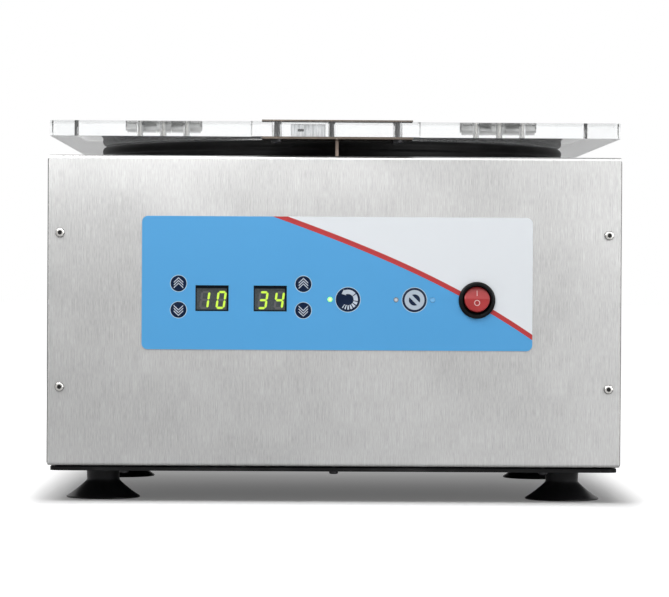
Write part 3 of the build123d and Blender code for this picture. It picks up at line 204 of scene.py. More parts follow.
glow_to_lens = (near_glow + (far_glow - near_glow) * far_away) * seen_directly(floor_tree, "Is Camera Ray")
glow_through_lid = far_glow * far_away * seen_directly(floor_tree, "Is Transmission Ray")
glow_in_gleams = gleam_glow * far_away * seen_directly(floor_tree, "Is Glossy Ray")
floor_glow = glow_to_lens + glow_through_lid + glow_in_gleams
floor_tree.links.new(floor_glow.socket, floor_shader.inputs["Emission Strength"])
floor_mesh.materials.append(floor_paint)


def softbox(name, place, aim, width, height, watts, gleam_only=False):
    """A soft lamp that the lens doesn't see; gleam_only lights nothing but shiny surfaces."""
    light = bpy.data.lights.new(name, "AREA")
    light.shape = "RECTANGLE"
    light.size, light.size_y = width, height
    light.energy = watts
    lamp = bpy.data.objects.new(name, light)
    lamp.location = place
    lamp.rotation_euler = (Vector(aim) - Vector(place)).to_track_quat("-Z", "Y").to_euler()
    lamp.visible_camera = False
    lamp.visible_diffuse = not gleam_only
    lamp.visible_transmission = False
    bpy.context.scene.collection.objects.link(lamp)


softbox("lamp_above_front", (-0.10, -0.62, 0.80), (0.0, -0.17, 0.10), 0.9, 0.5, 5.5)
softbox("lamp_right", (1.7, -0.8, 0.5), (0.0, -0.1, 0.1), 0.9, 0.9, 3.0)
softbox("lamp_behind", (-0.6, 1.4, 1.3), (0.0, 0.0, 0.1), 1.2, 0.8, 8)
softbox("gleam_above", (-0.20, -0.42, 0.42), (0.0, -0.17, 0.20), 0.5, 0.2, 4.6, gleam_only=True)
softbox("gleam_right", (0.60, -0.70, 0.35), (0.1, -0.17, 0.15), 0.3, 0.5, 8.5, gleam_only=True)


# ---- Cabinet ----
# Stainless sheet with a straight grain. One sheet is folded into the front, the deck and the
# back, so its grain runs up the front, along the deck and down the back.
class Finish:
    """One material of the machine, and the point on the object that it is worked out from."""

    def __init__(self, name, plain):
        self.material = bpy.data.materials.new(name)
        self.material.use_nodes = True
        self.tree = self.material.node_tree
        self.shader = self.tree.nodes["Principled BSDF"]
        for socket, value in plain.items():
            self.shader.inputs[socket].default_value = value
        self.point = Tone(self.tree, self.tree.nodes.new("ShaderNodeTexCoord").outputs["Object"])
        axes = self.point.made("ShaderNodeSeparateXYZ", {}, {0: self.point}).socket.node.outputs
        self.x, self.y, self.z = (Tone(self.tree, axis) for axis in axes)

    def give(self, socket, tone):
        """Feeds a socket of the shader; the last tone that it is given counts."""
        self.tree.links.new(tone.socket, self.shader.inputs[socket])

    def emboss(self, height, depth):
        """Raises the surface by depth metres where height is 1."""
        self.give("Normal", height.made("ShaderNodeBump", {}, {"Height": height, "Distance": depth}))

    def dress(self, *names):
        """Puts the material on nodes of the frame."""
        for name in names:
            for held in frame["nodes"][name].material_slots:
                held.material = self.material


def brushed_steel(name, grain, roughness):
    """Steel with a grain: grain gives the size of its longest hairlines along X, Y and Z."""
    steel = Finish(name, {"Metallic": 1.0})
    long_hairs = steel.point.noise(grain, 5.0)
    short_hairs = steel.point.noise([min(size, 0.006) * 0.7 for size in grain], 3.0)
    cloud = steel.point.noise(0.07, 3.0)
    mark = 0.5 * long_hairs + 0.5 * short_hairs
    tone = mark.rising(0.30, 0.70) * 0.8 + cloud.rising(0.3, 0.7) * 0.2
    steel.give("Roughness", roughness + 0.14 * (mark - 0.5) + 0.05 * (cloud - 0.5))
    steel.emboss(mark, 0.00001)
    return steel, tone.between((0.275, 0.275, 0.273, 1), (0.445, 0.445, 0.442, 1))


sheet_steel, sheet_tone = brushed_steel("folded_sheet", (0.0003, 0.016, 0.016), 0.40)
sheet_steel.give("Base Color", sheet_tone)
sheet_steel.dress("cabinet_wrap")
bowl_steel, bowl_tone = brushed_steel("drawn_bowl", (0.012, 0.012, 0.0006), 0.26)
bowl_steel.give("Base Color", bowl_tone)
bowl_steel.dress("bowl")


# ---- Side panels ----
# Folded trays of the same sheet inside the wrap's ends. Where their front and back edges meet the
# wrap, the seam is darkened with painted shade of the gap and with dust.
side_steel, side_tone = brushed_steel("side_sheet", (0.016, 0.0003, 0.016), 0.40)
side_low, side_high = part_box("side_panel_left")
seam_reach = 0.0016
middle_y, half_depth = (side_low.y + side_high.y) / 2, (side_high.y - side_low.y) / 2
# Painted shade of the gap along each seam, with dust: the steel darkens close to the front and back edges.
seam_shade_and_dust = abs(side_steel.y - middle_y).rising(half_depth - seam_reach, half_depth - 0.4 * seam_reach)
side_steel.give("Base Color", seam_shade_and_dust.between(side_tone, (0.12, 0.12, 0.12, 1)))
side_steel.dress("side_panel_left", "side_panel_right")


# ---- Cabinet screws ----
# Button-head screws of plated steel hold the wrap to the side panels, and their sockets and rims
# are painted dark as shade. Those in the base plate and in the lid's latch are blackened.
def plated_steel(name, colour, roughness):
    """Plain bright plating with a faint cloud of wear and fine turning marks."""
    plating = Finish(name, {"Metallic": 1.0})
    cloud = plating.point.noise(0.009, 3.0)
    scratch = plating.point.noise((0.0006, 0.0009, 0.0006), 2.0)
    worn = [channel * 0.86 for channel in colour[:3]] + [1]
    plating.tone = cloud.rising(0.3, 0.7).between(worn, colour)
    plating.give("Base Color", plating.tone)
    plating.give("Roughness", roughness + 0.18 * (scratch - 0.5))
    plating.emboss(scratch, 0.00002)
    return plating


screw_plating = plated_steel("screw_plating", (0.55, 0.54, 0.52, 1), 0.28)
screw_plating.dress("inlet_screws", "cabinet_hinge_screws", "lid_hinge_screws")
screw_plating.dress("bowl_nuts", "motor_screws", "board_standoffs")
plated_steel("blackened", (0.035, 0.035, 0.037, 1), 0.4).dress("base_screws", "latch_plate_screws")
panel_plating = plated_steel("panel_screw_plating", (0.50, 0.49, 0.47, 1), 0.3)
screws_low, screws_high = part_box("panel_screws")
head_radius, socket_radius, socket_blur, rim_width = 0.0028, 0.0012, 0.0003, 0.0005
column_x = (screws_high.x - screws_low.x) / 2 - head_radius
row_half = (screws_high.z - screws_low.z) / 2 - head_radius
from_column = abs(abs(panel_plating.x) - column_x)
from_row = abs(abs(panel_plating.z - (screws_low.z + screws_high.z) / 2) - row_half)
from_screw = (from_column * from_column + from_row * from_row) ** 0.5
past_socket = from_screw.rising(socket_radius, socket_radius + socket_blur)
inside_rim = 1 - from_screw.rising(head_radius - rim_width, head_radius)
# Painted shade: dark inside each socket and round the edge of each head.
socket_shade = 1 - past_socket * inside_rim
panel_plating.give("Base Color", socket_shade.between(panel_plating.tone, (0.03, 0.03, 0.03, 1)))
panel_plating.dress("panel_screws")


# ---- Base plate and its gasket ----
# A steel plate in satin black paint closes the cabinet from below, on a strip of black foam.
def black_paint(name, colour, roughness):
    """Powder coat: a fine orange peel and dust that lightens it a little."""
    paint = Finish(name, {"Specular IOR Level": 0.08})
    peel = paint.point.noise(0.0011, 2.0)
    dust = paint.point.noise(0.03, 4.0)
    dusty = [channel + 0.02 for channel in colour[:3]] + [1]
    paint.give("Base Color", dust.rising(0.45, 0.8).between(colour, dusty))
    paint.give("Roughness", roughness + 0.2 * (dust - 0.5))
    paint.emboss(peel, 0.00006)
    return paint


black_paint("base_paint", (0.007, 0.007, 0.0075, 1), 0.45).dress("base_plate", "motor_brackets")
rubber_strip = black_paint("foam_strip", (0.010, 0.010, 0.010, 1), 0.9)
rubber_strip.dress("base_gasket", "shaft_seal", "motor_isolators", "tube_cushions")


# ---- Suction feet ----
# Moulded rubber feet with a stem, a thin flared skirt and a hollow cup below. One foot is turned
# from its outline, and the pattern sets a copy on each corner of the base.
def lathe(name, outline, steps):
    """A closed surface turned about Z from points of radius and height, in metres."""
    shape = bmesh.new()
    last = None
    for step in range(steps):
        angle = 2 * pi * step / steps
        ring = [shape.verts.new((r * cos(angle), r * sin(angle), z)) for r, z in outline]
        if last:
            for row in range(len(outline) - 1):
                shape.faces.new((last[row], ring[row], ring[row + 1], last[row + 1]))
        else:
            first = ring
        last = ring
    for row in range(len(outline) - 1):
        shape.faces.new((last[row], first[row], first[row + 1], last[row + 1]))
    bmesh.ops.remove_doubles(shape, verts=shape.verts, dist=1e-7)
    bmesh.ops.recalc_face_normals(shape, faces=shape.faces)
    mesh = bpy.data.meshes.new(name)
    shape.to_mesh(mesh)
    shape.free()
    mesh.shade_smooth()
    return mesh


def repeated(name, mesh, inputs, place_copies, finish):
    """The plain mesh that a Geometry Nodes pattern makes from one mesh, its inputs set by name."""
    pattern = bpy.data.node_groups.new(name, "GeometryNodeTree")
    kinds = {float: "NodeSocketFloat", int: "NodeSocketInt", tuple: "NodeSocketVector"}
    pattern.interface.new_socket("Piece", in_out="INPUT", socket_type="NodeSocketGeometry")
    for label, value in inputs.items():
        pattern.interface.new_socket(label, in_out="INPUT", socket_type=kinds[type(value)])
    pattern.interface.new_socket("Pieces", in_out="OUTPUT", socket_type="NodeSocketGeometry")
    given = pattern.nodes.new("NodeGroupInput").outputs

    def made(kind, settings, links, output=0):
        node = pattern.nodes.new(kind)
        for setting, value in settings.items():
            setattr(node, setting, value)
        for socket, value in links.items():
            if isinstance(value, bpy.types.NodeSocket):
                pattern.links.new(value, node.inputs[socket])
            else:
                node.inputs[socket].default_value = value
        return node.outputs[output]

    copies = place_copies(made, given)
    real = made("GeometryNodeRealizeInstances", {}, {0: copies})
    dressed = made("GeometryNodeSetMaterial", {}, {"Geometry": real, "Material": finish.material})
    pattern.links.new(dressed, pattern.nodes.new("NodeGroupOutput").inputs[0])
    holder = bpy.data.objects.new(name, mesh)
    bpy.context.scene.collection.objects.link(holder)
    modifier = holder.modifiers.new(name, "NODES")
    modifier.node_group = pattern
    for item in pattern.interface.items_tree:
        if item.name in inputs:
            modifier[item.identifier] = inputs[item.name]
    graph = bpy.context.evaluated_depsgraph_get()
    result = bpy.data.meshes.new_from_object(holder.evaluated_get(graph), depsgraph=graph)
    holder.modifiers.remove(modifier)
    bpy.data.objects.remove(holder)
    return result


def fit(name, mesh, finish, body, replaced=()):
    """Adds a mesh to the machine as one piece that rides on a body."""
    part = bpy.data.objects.new(name, mesh)
    bpy.context.scene.collection.objects.link(part)
    if not mesh.materials:
        mesh.materials.append(finish.material)
    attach(part, body)
    if replaced:
        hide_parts(*replaced)
    return part


def moulded_rubber(name, colour, roughness, shine=0.15):
    """Black rubber: a fine matt skin with paler bloom and a few rub marks."""
    rubber = Finish(name, {"Specular IOR Level": shine})
    skin = rubber.point.noise(0.0009, 3.0)
    bloom = rubber.point.noise(0.02, 4.0)
    pale = [2 * channel + 0.002 for channel in colour[:3]] + [1]
    rubber.give("Base Color", bloom.rising(0.4, 0.8).between(colour, pale))
    rubber.give("Roughness", roughness + 0.15 * (bloom - 0.5))
    rubber.emboss(skin, 0.00002)
    return rubber


feet_low, feet_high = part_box("suction_feet")
foot_rubber = moulded_rubber("foot_rubber", (0.012, 0.012, 0.013, 1), 0.42)
foot_outline = [
    (0, 19.5), (10.5, 19.5), (10.7, 19.3), (10.5, 16.0), (10.3, 12.2), (10.35, 11.2), (11.1, 10.2),
    (13.3, 8.2), (16.3, 5.7), (19.3, 3.4), (21.6, 1.9), (22.8, 1.15), (23.3, 0.75), (23.25, 0.3),
    (22.9, 0), (21.4, 0), (20.6, 0.5), (17.5, 2.0), (13.5, 4.0), (9.5, 5.4), (4.0, 5.9), (0, 6.0),
]
foot_radius = 0.0233
one_foot = lathe("one_foot", [(r / 1000, z / 1000) for r, z in foot_outline], 72)


def on_four_corners(made, given):
    """A copy on each corner of a rectangle."""
    grid = made(
        "GeometryNodeMeshGrid", {},
        {"Size X": given["Spacing X"], "Size Y": given["Spacing Y"], "Vertices X": 2, "Vertices Y": 2},
    )
    moved = made("GeometryNodeTransform", {}, {"Geometry": grid, "Translation": given["Middle"]})
    return made("GeometryNodeInstanceOnPoints", {}, {"Points": moved, "Instance": given["Piece"]})


feet_middle = (feet_low + feet_high) / 2
feet_sizes = {
    "Spacing X": feet_high.x - feet_low.x - 2 * foot_radius,
    "Spacing Y": feet_high.y - feet_low.y - 2 * foot_radius,
    "Middle": (feet_middle.x, feet_middle.y, 0.0),
}
four_feet = repeated("rubber_feet", one_foot, feet_sizes, on_four_corners, foot_rubber)
fit("rubber_feet", four_feet, foot_rubber, "cabinet", ["suction_feet"])


# ---- Chamber gasket ----
# Extruded edge trim bent into a ring: a channel that grips the bowl's lip, with a soft bulb and a
# thin lip outside it. The lid closes on the bulb.
gasket_low, gasket_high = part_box("bowl_gasket")
deck_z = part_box("cabinet_wrap")[1].z
ring_radius = (gasket_high.x - gasket_low.x) / 2
ring_y = (gasket_high.y + gasket_low.y) / 2
bulb_top = gasket_high.z - deck_z
trim_outline = [
    (-9.4, 0.1), (-0.3, 0.1), (0.0, 0.5), (0.0, 4.0), (-0.25, 4.6), (-0.95, 5.2), (-1.35, 5.7), (-1.4, 6.6),
    (-1.1, 7.7), (-1.15, 8.8), (-1.6, 9.9), (-2.6, 10.9), (-4.2, 11.3), (-5.9, 10.9), (-7.0, 9.9),
    (-7.45, 8.6), (-7.4, 7.0), (-7.9, 6.1), (-9.1, 5.6), (-9.5, 4.6), (-9.6, 0.6), (-9.4, 0.1),
]
trim_top = 11.3
trim = [(ring_radius + r / 1000, z * bulb_top / trim_top) for r, z in trim_outline]
gasket_mesh = lathe("gasket", trim, 240)
gasket_mesh.transform(Matrix.Translation((0, ring_y, deck_z)))
gasket_rubber = moulded_rubber("gasket_rubber", (0.0015, 0.0015, 0.0016, 1), 0.5, 0.05)
gasket_trim = fit("gasket_trim", gasket_mesh, gasket_rubber, "cabinet", ["bowl_gasket"])
rounding = gasket_trim.modifiers.new("rounding", "SUBSURF")
rounding.levels = rounding.render_levels = 1


# ---- Motor ----
# A grey painted can with ferrite magnets inside, two ball bearings, a stacked armature on a
# ground shaft, and the steel plate it hangs in.
black_paint("motor_paint", (0.055, 0.058, 0.062, 1), 0.4).dress("motor_can")
black_paint("ferrite", (0.018, 0.017, 0.018, 1), 0.75).dress("motor_magnets")
plated_steel("bearing_steel", (0.66, 0.66, 0.65, 1), 0.18).dress("motor_bearings", "motor_shaft")
plate_steel = plated_steel("plate_steel", (0.50, 0.50, 0.49, 1), 0.36)
plate_steel.dress("motor_plate", "latch_bolt")
stack = plated_steel("stacked_iron", (0.33, 0.31, 0.30, 1), 0.42)
leaves = stack.point.noise((0.05, 0.05, 0.0004), 1.0)
stack.emboss(leaves, 0.0001)
stack.dress("motor_armature")


# ---- Rotor head, sleeves and nut ----
# An alloy head turned on a lathe, so that its marks run in circles round the spindle, with drawn
# alloy sleeves and a moulded knob on the shaft's thread.
spindle_y = (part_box("rotor_nut")[0].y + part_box("rotor_nut")[1].y) / 2


def turned_metal(name, dark, light, roughness):
    """Metal with fine circular tool marks round the spindle."""
    metal = Finish(name, {"Metallic": 1.0})
    aside = metal.y - spindle_y
    radius = (metal.x * metal.x + aside * aside) ** 0.5
    rings = radius.made("ShaderNodeCombineXYZ", {}, {0: radius, 2: metal.z}).noise(0.0005, 2.0)
    cloud = metal.point.noise(0.03, 3.0)
    metal.give("Base Color", rings.rising(0.25, 0.75).between(dark, light))
    metal.give("Roughness", roughness + 0.14 * (rings - 0.5) + 0.1 * (cloud - 0.5))
    metal.emboss(rings, 0.00004)
    return metal


turned_metal("turned_alloy", (0.60, 0.61, 0.62, 1), (0.76, 0.77, 0.78, 1), 0.3).dress("rotor_body")
turned_metal("sleeve_alloy", (0.68, 0.69, 0.70, 1), (0.82, 0.83, 0.84, 1), 0.22).dress("tube_sleeves")


def moulded_plastic(name, colour, roughness, shine=0.2):
    """Moulded plastic with a fine grain, faint flow marks and a trace of dust."""
    plastic = Finish(name, {"Specular IOR Level": shine})
    skin = plastic.point.noise(0.0006, 2.0)
    flow = plastic.point.noise(0.012, 3.0)
    worn = [min(1.0, channel * 1.15 + 0.006) for channel in colour[:3]] + [1]
    plastic.give("Base Color", flow.rising(0.4, 0.75).between(colour, worn))
    plastic.give("Roughness", roughness + 0.12 * (flow - 0.5) + 0.08 * (skin - 0.5))
    plastic.emboss(skin, 0.00003)
    return plastic


knob_plastic = moulded_plastic("knob_plastic", (0.016, 0.016, 0.018, 1), 0.38)
knob_plastic.dress("rotor_nut", "interlock_sensor")


def laid_on(node, outline, along, ink, finish_mesh):
    """Adds to a mesh a thin plate of ink whose outline is dropped along a direction on a node."""
    surface = frame["nodes"][node]
    front_ring, back_ring = [], []
    for point in outline:
        place = surface.ray_cast(point, along)[1]
        front_ring.append(finish_mesh.verts.new(place - ink * along))
        back_ring.append(finish_mesh.verts.new(place + 0.3 * ink * along))
    finish_mesh.faces.new(front_ring)
    finish_mesh.faces.new(reversed(back_ring))
    for step in range(len(outline)):
        after = (step + 1) % len(outline)
        finish_mesh.faces.new((front_ring[after], front_ring[step], back_ring[step], back_ring[after]))


def printed(name, outlines, node, finish, along=Vector((0, 1, 0)), ink=0.00006):
    """Printed signs on a node: each outline is a list of places in front of it, in metres."""
    shape = bmesh.new()
    for outline in outlines:
        laid_on(node, outline, along, ink, shape)
    bmesh.ops.recalc_face_normals(shape, faces=shape.faces)
    mesh = bpy.data.meshes.new(name)
    shape.to_mesh(mesh)
    shape.free()
    return fit(name, mesh, finish, frame["nodes"][node]["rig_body"])


before_piece = 0.05
number_ink = moulded_plastic("number_ink", (0.02, 0.02, 0.022, 1), 0.5)
number_radius, number_height, above_head = 0.0385, 0.007, 0.3
sleeve_count = 6
number_outlines = []
for place in range(sleeve_count):
    letters = bpy.data.curves.new("number", "FONT")
    letters.body = str(place + 1)
    letters.align_x, letters.align_y = "CENTER", "CENTER"
    letters.size = number_height
    letters.resolution_u = 3
    holder = bpy.data.objects.new("number", letters)
    flat = bpy.data.meshes.new_from_object(holder)
    bpy.data.objects.remove(holder)
    angle = 2 * pi * (place + 0.5) / sleeve_count
    number_x, number_y = number_radius * cos(angle), spindle_y + number_radius * sin(angle)
    turn = Matrix.Translation((number_x, number_y, above_head))
    flat.transform(turn @ Matrix.Rotation(angle - pi / 2, 4, "Z"))
    for face in flat.polygons:
        number_outlines.append([flat.vertices[corner].co.copy() for corner in face.vertices])
printed("rotor_numbers", number_outlines, "rotor_body", number_ink, Vector((0, 0, -1)))


# ---- Lid ----
# A plate of clear cast acrylic, sawn and polished, with softened edges. It replaces the plain
# plate, whose faces are joined into one skin first so that the edges can be rounded. The lamps shine
# through it without a shadow, and leave it out, so that they don't mirror in it as hard patches.
acrylic = Finish("clear_acrylic", {"Transmission Weight": 0.93, "IOR": 1.49})
haze = acrylic.point.noise(0.05, 3.0)
polish = acrylic.point.noise((0.004, 0.0009, 0.0009), 2.0)
acrylic.give("Base Color", haze.between((0.895, 0.91, 0.915, 1), (0.92, 0.93, 0.935, 1)))
acrylic.give("Roughness", 0.012 + 0.02 * haze.rising(0.5, 0.8))
acrylic.emboss(polish, 0.000002)


def joined_copy(node):
    """The node's shape as one skin of flat faces, each of them whole again."""
    shape = bmesh.new()
    shape.from_mesh(frame["nodes"][node].data)
    bmesh.ops.remove_doubles(shape, verts=shape.verts, dist=1e-6)
    bmesh.ops.dissolve_limit(shape, angle_limit=radians(0.5), verts=shape.verts, edges=shape.edges)
    mesh = bpy.data.meshes.new(node + "_skin")
    shape.to_mesh(mesh)
    shape.free()
    mesh.shade_flat()
    return mesh


lid_skin = joined_copy("lid_panel")
lid_plate = fit("lid_plate", lid_skin, acrylic, "lid", ["lid_panel"])
softened = lid_plate.modifiers.new("softened", "BEVEL")
softened.width = 0.0005
softened.segments = 2
softened.limit_method = "ANGLE"
softened.angle_limit = radians(50)
lid_plate.visible_shadow = False
past_the_lid = bpy.data.collections.new("lit_by_softboxes")
past_the_lid.objects.link(lid_plate)
past_the_lid.collection_objects[0].light_linking.link_state = "EXCLUDE"
for lamp in bpy.data.objects:
    if lamp.type == "LIGHT":
        lamp.light_linking.receiver_collection = past_the_lid


# ---- Lid latch plates and interlock magnet ----
# Ground steel plates clamp the lid at its front edge, and the striker tongue hangs from the lower
# one. The magnet is a pale streaky block with a short bar of black ink on its front.
latch_steel = plated_steel("latch_steel", (0.135, 0.112, 0.094, 1), 0.3)
plate_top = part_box("striker_bracket")[1].z
plate_sheet, tongue_blur = 0.0018, 0.0004
on_tongue = 1 - latch_steel.z.rising(plate_top - plate_sheet, plate_top - plate_sheet + tongue_blur)
latch_steel.give("Base Color", on_tongue.between(latch_steel.tone, (0.25, 0.20, 0.17, 1)))
latch_steel.dress("latch_plate", "striker_bracket")
magnet_plastic = moulded_plastic("magnet_plastic", (0.74, 0.75, 0.76, 1), 0.45)
streak = magnet_plastic.point.noise((0.0009, 0.02, 0.012), 3.0)
streaky = streak.rising(0.3, 0.6).between((0.60, 0.61, 0.62, 1), (0.92, 0.92, 0.93, 1))
magnet_plastic.give("Base Color", streaky)
magnet_plastic.dress("interlock_magnet")
magnet_low, magnet_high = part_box("interlock_magnet")
mark_share, mark_height, mark_reach, mark_half = 0.28, 0.0040, 0.0019, 0.0008
mark_x = magnet_low.x + mark_share * (magnet_high.x - magnet_low.x)
mark_middle = Vector((mark_x, magnet_low.y - before_piece, magnet_low.z + mark_height))
mark = [mark_middle + Vector((side * mark_reach, 0, up * mark_half)) for side, up in corners]
printed("magnet_mark", [mark], "interlock_magnet", number_ink)


# ---- Hinges ----
# Pressed steel leaves with rolled knuckles on a headed pin, screwed to the lid and the back.
hinge_steel = plated_steel("hinge_steel", (0.50, 0.50, 0.495, 1), 0.32)
hinge_steel.dress("cabinet_hinge_leaves", "lid_hinge_leaves", "hinge_pins")


# ---- Latch block, solenoid and bolt ----
# A machined block of black acetal under the deck guides the tongue; the coil beside it is wound
# in amber tape.
moulded_plastic("acetal", (0.022, 0.022, 0.024, 1), 0.34).dress("latch_block")
coil_tape = moulded_plastic("coil_tape", (0.42, 0.22, 0.035, 1), 0.4)
turns = coil_tape.point.noise((0.0006, 0.02, 0.02), 1.0)
coil_tape.emboss(turns, 0.0001)
coil_tape.dress("latch_solenoid")


# ---- Panel overlay ----
# A printed polyester skin on the front sheet: pale grey above, light blue below, a red stripe
# that falls to the right between them, and a pale ring round each key.
keys = [name for name in frame["nodes"] if name.endswith("_key")]
rocker_low, rocker_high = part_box("power_rocker")
row_z = (rocker_low.z + rocker_high.z) / 2
blue, grey = (0.085, 0.375, 0.735, 1), (0.80, 0.835, 0.87, 1)
red, ring_colour = (0.50, 0.035, 0.038, 1), (0.46, 0.64, 0.82, 1)
stripe_start, stripe_height, print_edge = 0.0401, 0.0034, 0.00008
fall_slope, fall_bend, fall_twist = 0.3828, 0.529, 3.68
ring_reach, key_flange = 0.0007, 0.001
overlay = Finish("overlay_print", {"Specular IOR Level": 0.25})
stripe_fall = (fall_slope + (fall_bend + fall_twist * overlay.x) * overlay.x) * overlay.x
over_stripe = overlay.z - (row_z + stripe_start - stripe_fall)
above = over_stripe.rising(-print_edge, print_edge)
below = 1 - (over_stripe + stripe_height).rising(-print_edge, print_edge)
field = below.between(above.between(red, grey), blue)
rings = 0.0
for key in keys:
    low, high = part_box(key)
    across, up = overlay.x - (low.x + high.x) / 2, overlay.z - (low.z + high.z) / 2
    distance = (across * across + up * up) ** 0.5
    ring_end = (high.x - low.x) / 2 - key_flange + ring_reach
    rings = rings + (1 - distance.rising(ring_end - print_edge, ring_end + print_edge))
tint = overlay.point.noise(0.05, 3.0)
overlay.give("Base Color", rings.between(field, ring_colour))
overlay.give("Roughness", 0.40 + 0.10 * (tint - 0.5))
overlay.emboss(overlay.point.noise(0.0004, 1.0), 0.00001)
overlay.dress("panel_overlay")


# ---- Keys ----
# Low caps moulded in navy or pale plastic, with their signs printed on them: stacked chevrons on
# the small ones, a turning arrow on the run key, and a parted disc and a navy rim on the stop key.
navy, pale = (0.005, 0.0145, 0.045, 1), (0.47, 0.55, 0.64, 1)
small_names = [name for name in keys if name.startswith(("time", "speed"))]
moulded_plastic("navy_plastic", navy, 0.35, 0.06).dress("run_key", *small_names)
stop_low, stop_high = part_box("stop_key")
stop_radius = (stop_high.x - stop_low.x) / 2 - key_flange
stop_rim = 0.0011
pale_plastic = moulded_plastic("pale_plastic", pale, 0.4)
from_side = pale_plastic.x - (stop_low.x + stop_high.x) / 2
from_level = pale_plastic.z - (stop_low.z + stop_high.z) / 2
from_middle = (from_side * from_side + from_level * from_level) ** 0.5
rim = from_middle.rising(stop_radius - stop_rim - print_edge, stop_radius - stop_rim + print_edge)
pale_plastic.give("Base Color", rim.between(pale, navy))
pale_plastic.dress("stop_key")
pale_ink = moulded_plastic("pale_ink", (0.50, 0.57, 0.66, 1), 0.45)
navy_ink = moulded_plastic("navy_ink", navy, 0.45, 0.06)


def key_sign(key, shapes, finish):
    """Prints flat shapes, given in millimetres from the key's middle, on its cap."""
    low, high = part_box(key)
    middle = Vector(((low.x + high.x) / 2, low.y - before_piece, (low.z + high.z) / 2))
    outlines = [[middle + Vector((x, 0, z)) / 1000 for x, z in shape] for shape in shapes]
    printed(key + "_sign", outlines, key, finish)


def arc(radius, start, end, steps):
    """Points on a circle about the middle, between two angles in degrees."""
    angles = [radians(start + (end - start) * step / steps) for step in range(steps + 1)]
    return [(radius * cos(angle), radius * sin(angle)) for angle in angles]


def band(inner, outer, start, end):
    """A strip between two circles, with a corner about every 6 degrees."""
    steps = max(2, int(abs(end - start) / 6))
    return arc(outer, start, end, steps) + arc(inner, end, start, steps)


chevron_half, chevron_rise, chevron_weight, chevron_pitch, chevron_shift = 2.9, 2.75, 0.75, 1.66, 0.4
for key in small_names:
    way = 1 if "up" in key else -1
    chevrons = []
    for step in (-1, 0, 1):
        foot = way * (chevron_shift + step * chevron_pitch - chevron_rise / 2 - chevron_weight / 2)
        tip, weight = foot + way * chevron_rise, way * chevron_weight
        outer = [(chevron_half, foot), (chevron_half, foot + weight), (0, tip + weight)]
        chevrons.append(outer + [(-chevron_half, foot + weight), (-chevron_half, foot), (0, tip)])
    key_sign(key, chevrons, pale_ink)

run_inner, run_outer, head_start, head_tip, head_flare, tip_rise = 3.5, 6.15, 112, 138, 0.6, 0.5
head_corners = (
    (run_outer + head_flare, head_start),
    ((run_inner + run_outer) / 2 + tip_rise, head_tip),
    (run_inner - head_flare, head_start),
)
run_shapes = [[arc(radius, angle, angle, 1)[0] for radius, angle in head_corners]]
long_ticks = ((113, 40), (34, -8), (-14, -32), (-39, -54))
short_ticks = ((-62, -74), (-83, -93), (-103, -111), (-121, -127))
run_shapes += [band(run_inner, run_outer, start, end) for start, end in long_ticks + short_ticks]
key_sign("run_key", run_shapes, pale_ink)

stop_reach, stop_bar = 3.5, 2.2
lobe_half = 90 - 180 / pi * asin(stop_bar / 2 / stop_reach)
stop_shapes = [arc(stop_reach, middle - lobe_half, middle + lobe_half, 18) for middle in (45, 225)]
key_sign("stop_key", stop_shapes, navy_ink)


# ---- Displays ----
# Two two-digit displays behind grey filters, painted dark round their edges as the shade of the
# window's recess, most at the top. Lit bars glow yellow-green, and unlit ones show faintly.
modules_low, modules_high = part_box("display_modules")
module_half = 0.01225
display_z = (modules_low.z + modules_high.z) / 2
window_half, window_rise, shade_blur = 0.0102, 0.0078, 0.0002
shade_right, shade_left, shade_top, shade_bottom = 0.0010, 0.0005, 0.0016, 0.0006
filter_grey = moulded_plastic("display_filter", (0.075, 0.085, 0.088, 1), 0.3, 0.06)
display_spread = (modules_high.x - modules_low.x) / 2 - module_half
display_middle = (modules_low.x + modules_high.x) / 2
from_module = abs(filter_grey.x - display_middle) - display_spread
to_right = from_module * filter_grey.x.reckon("SIGN", filter_grey.x - display_middle, 0.0)
upward = filter_grey.z - display_z
# Painted shade where the window's recess shades the filter: widest at the top, then the right, thinnest at
# the left.
recess_shade = 0.0
for outward, window_end in (
    (to_right, window_half - shade_right),
    (0 - to_right, window_half - shade_left),
    (upward, window_rise - shade_top),
    (0 - upward, window_rise - shade_bottom),
):
    recess_shade = recess_shade + outward.rising(window_end - shade_blur, window_end)
mottle = filter_grey.point.noise(0.0012, 2.0)
face = mottle.rising(0.3, 0.7).between((0.066, 0.076, 0.080, 1), (0.090, 0.100, 0.102, 1))
filter_grey.give("Base Color", recess_shade.reckon("MINIMUM", recess_shade, 1.0).between(face, (0.006, 0.010, 0.016, 1)))
filter_grey.dress("display_modules")
glow = Finish("lit_bars", {"Base Color": (0.05, 0.07, 0.01, 1), "Emission Strength": 1.0})
heat = glow.point.noise(0.0009, 1.0)
glow.give("Emission Color", heat.between((0.50, 0.80, 0.012, 1), (0.66, 0.95, 0.045, 1)))
dim = moulded_plastic("unlit_bars", (0.115, 0.115, 0.12, 1), 0.35)
digit_half, digit_rise, bar_half, bar_gap = 2.2, 4.9, 0.68, 0.12
digit_slant, digit_drop, digit_places = 0.14, 1.05, (-4.5, 5.6)
bars = {
    "top": ((-1, 1), (1, 1)),
    "middle": ((-1, 0), (1, 0)),
    "bottom": ((-1, -1), (1, -1)),
    "upper_left": ((-1, 0), (-1, 1)),
    "upper_right": ((1, 0), (1, 1)),
    "lower_left": ((-1, -1), (-1, 0)),
    "lower_right": ((1, -1), (1, 0)),
}
numbers = {
    "1": ("upper_right", "lower_right"),
    "0": ("top", "bottom", "upper_left", "upper_right", "lower_left", "lower_right"),
    "3": ("top", "middle", "bottom", "upper_right", "lower_right"),
    "4": ("middle", "upper_left", "upper_right", "lower_right"),
}


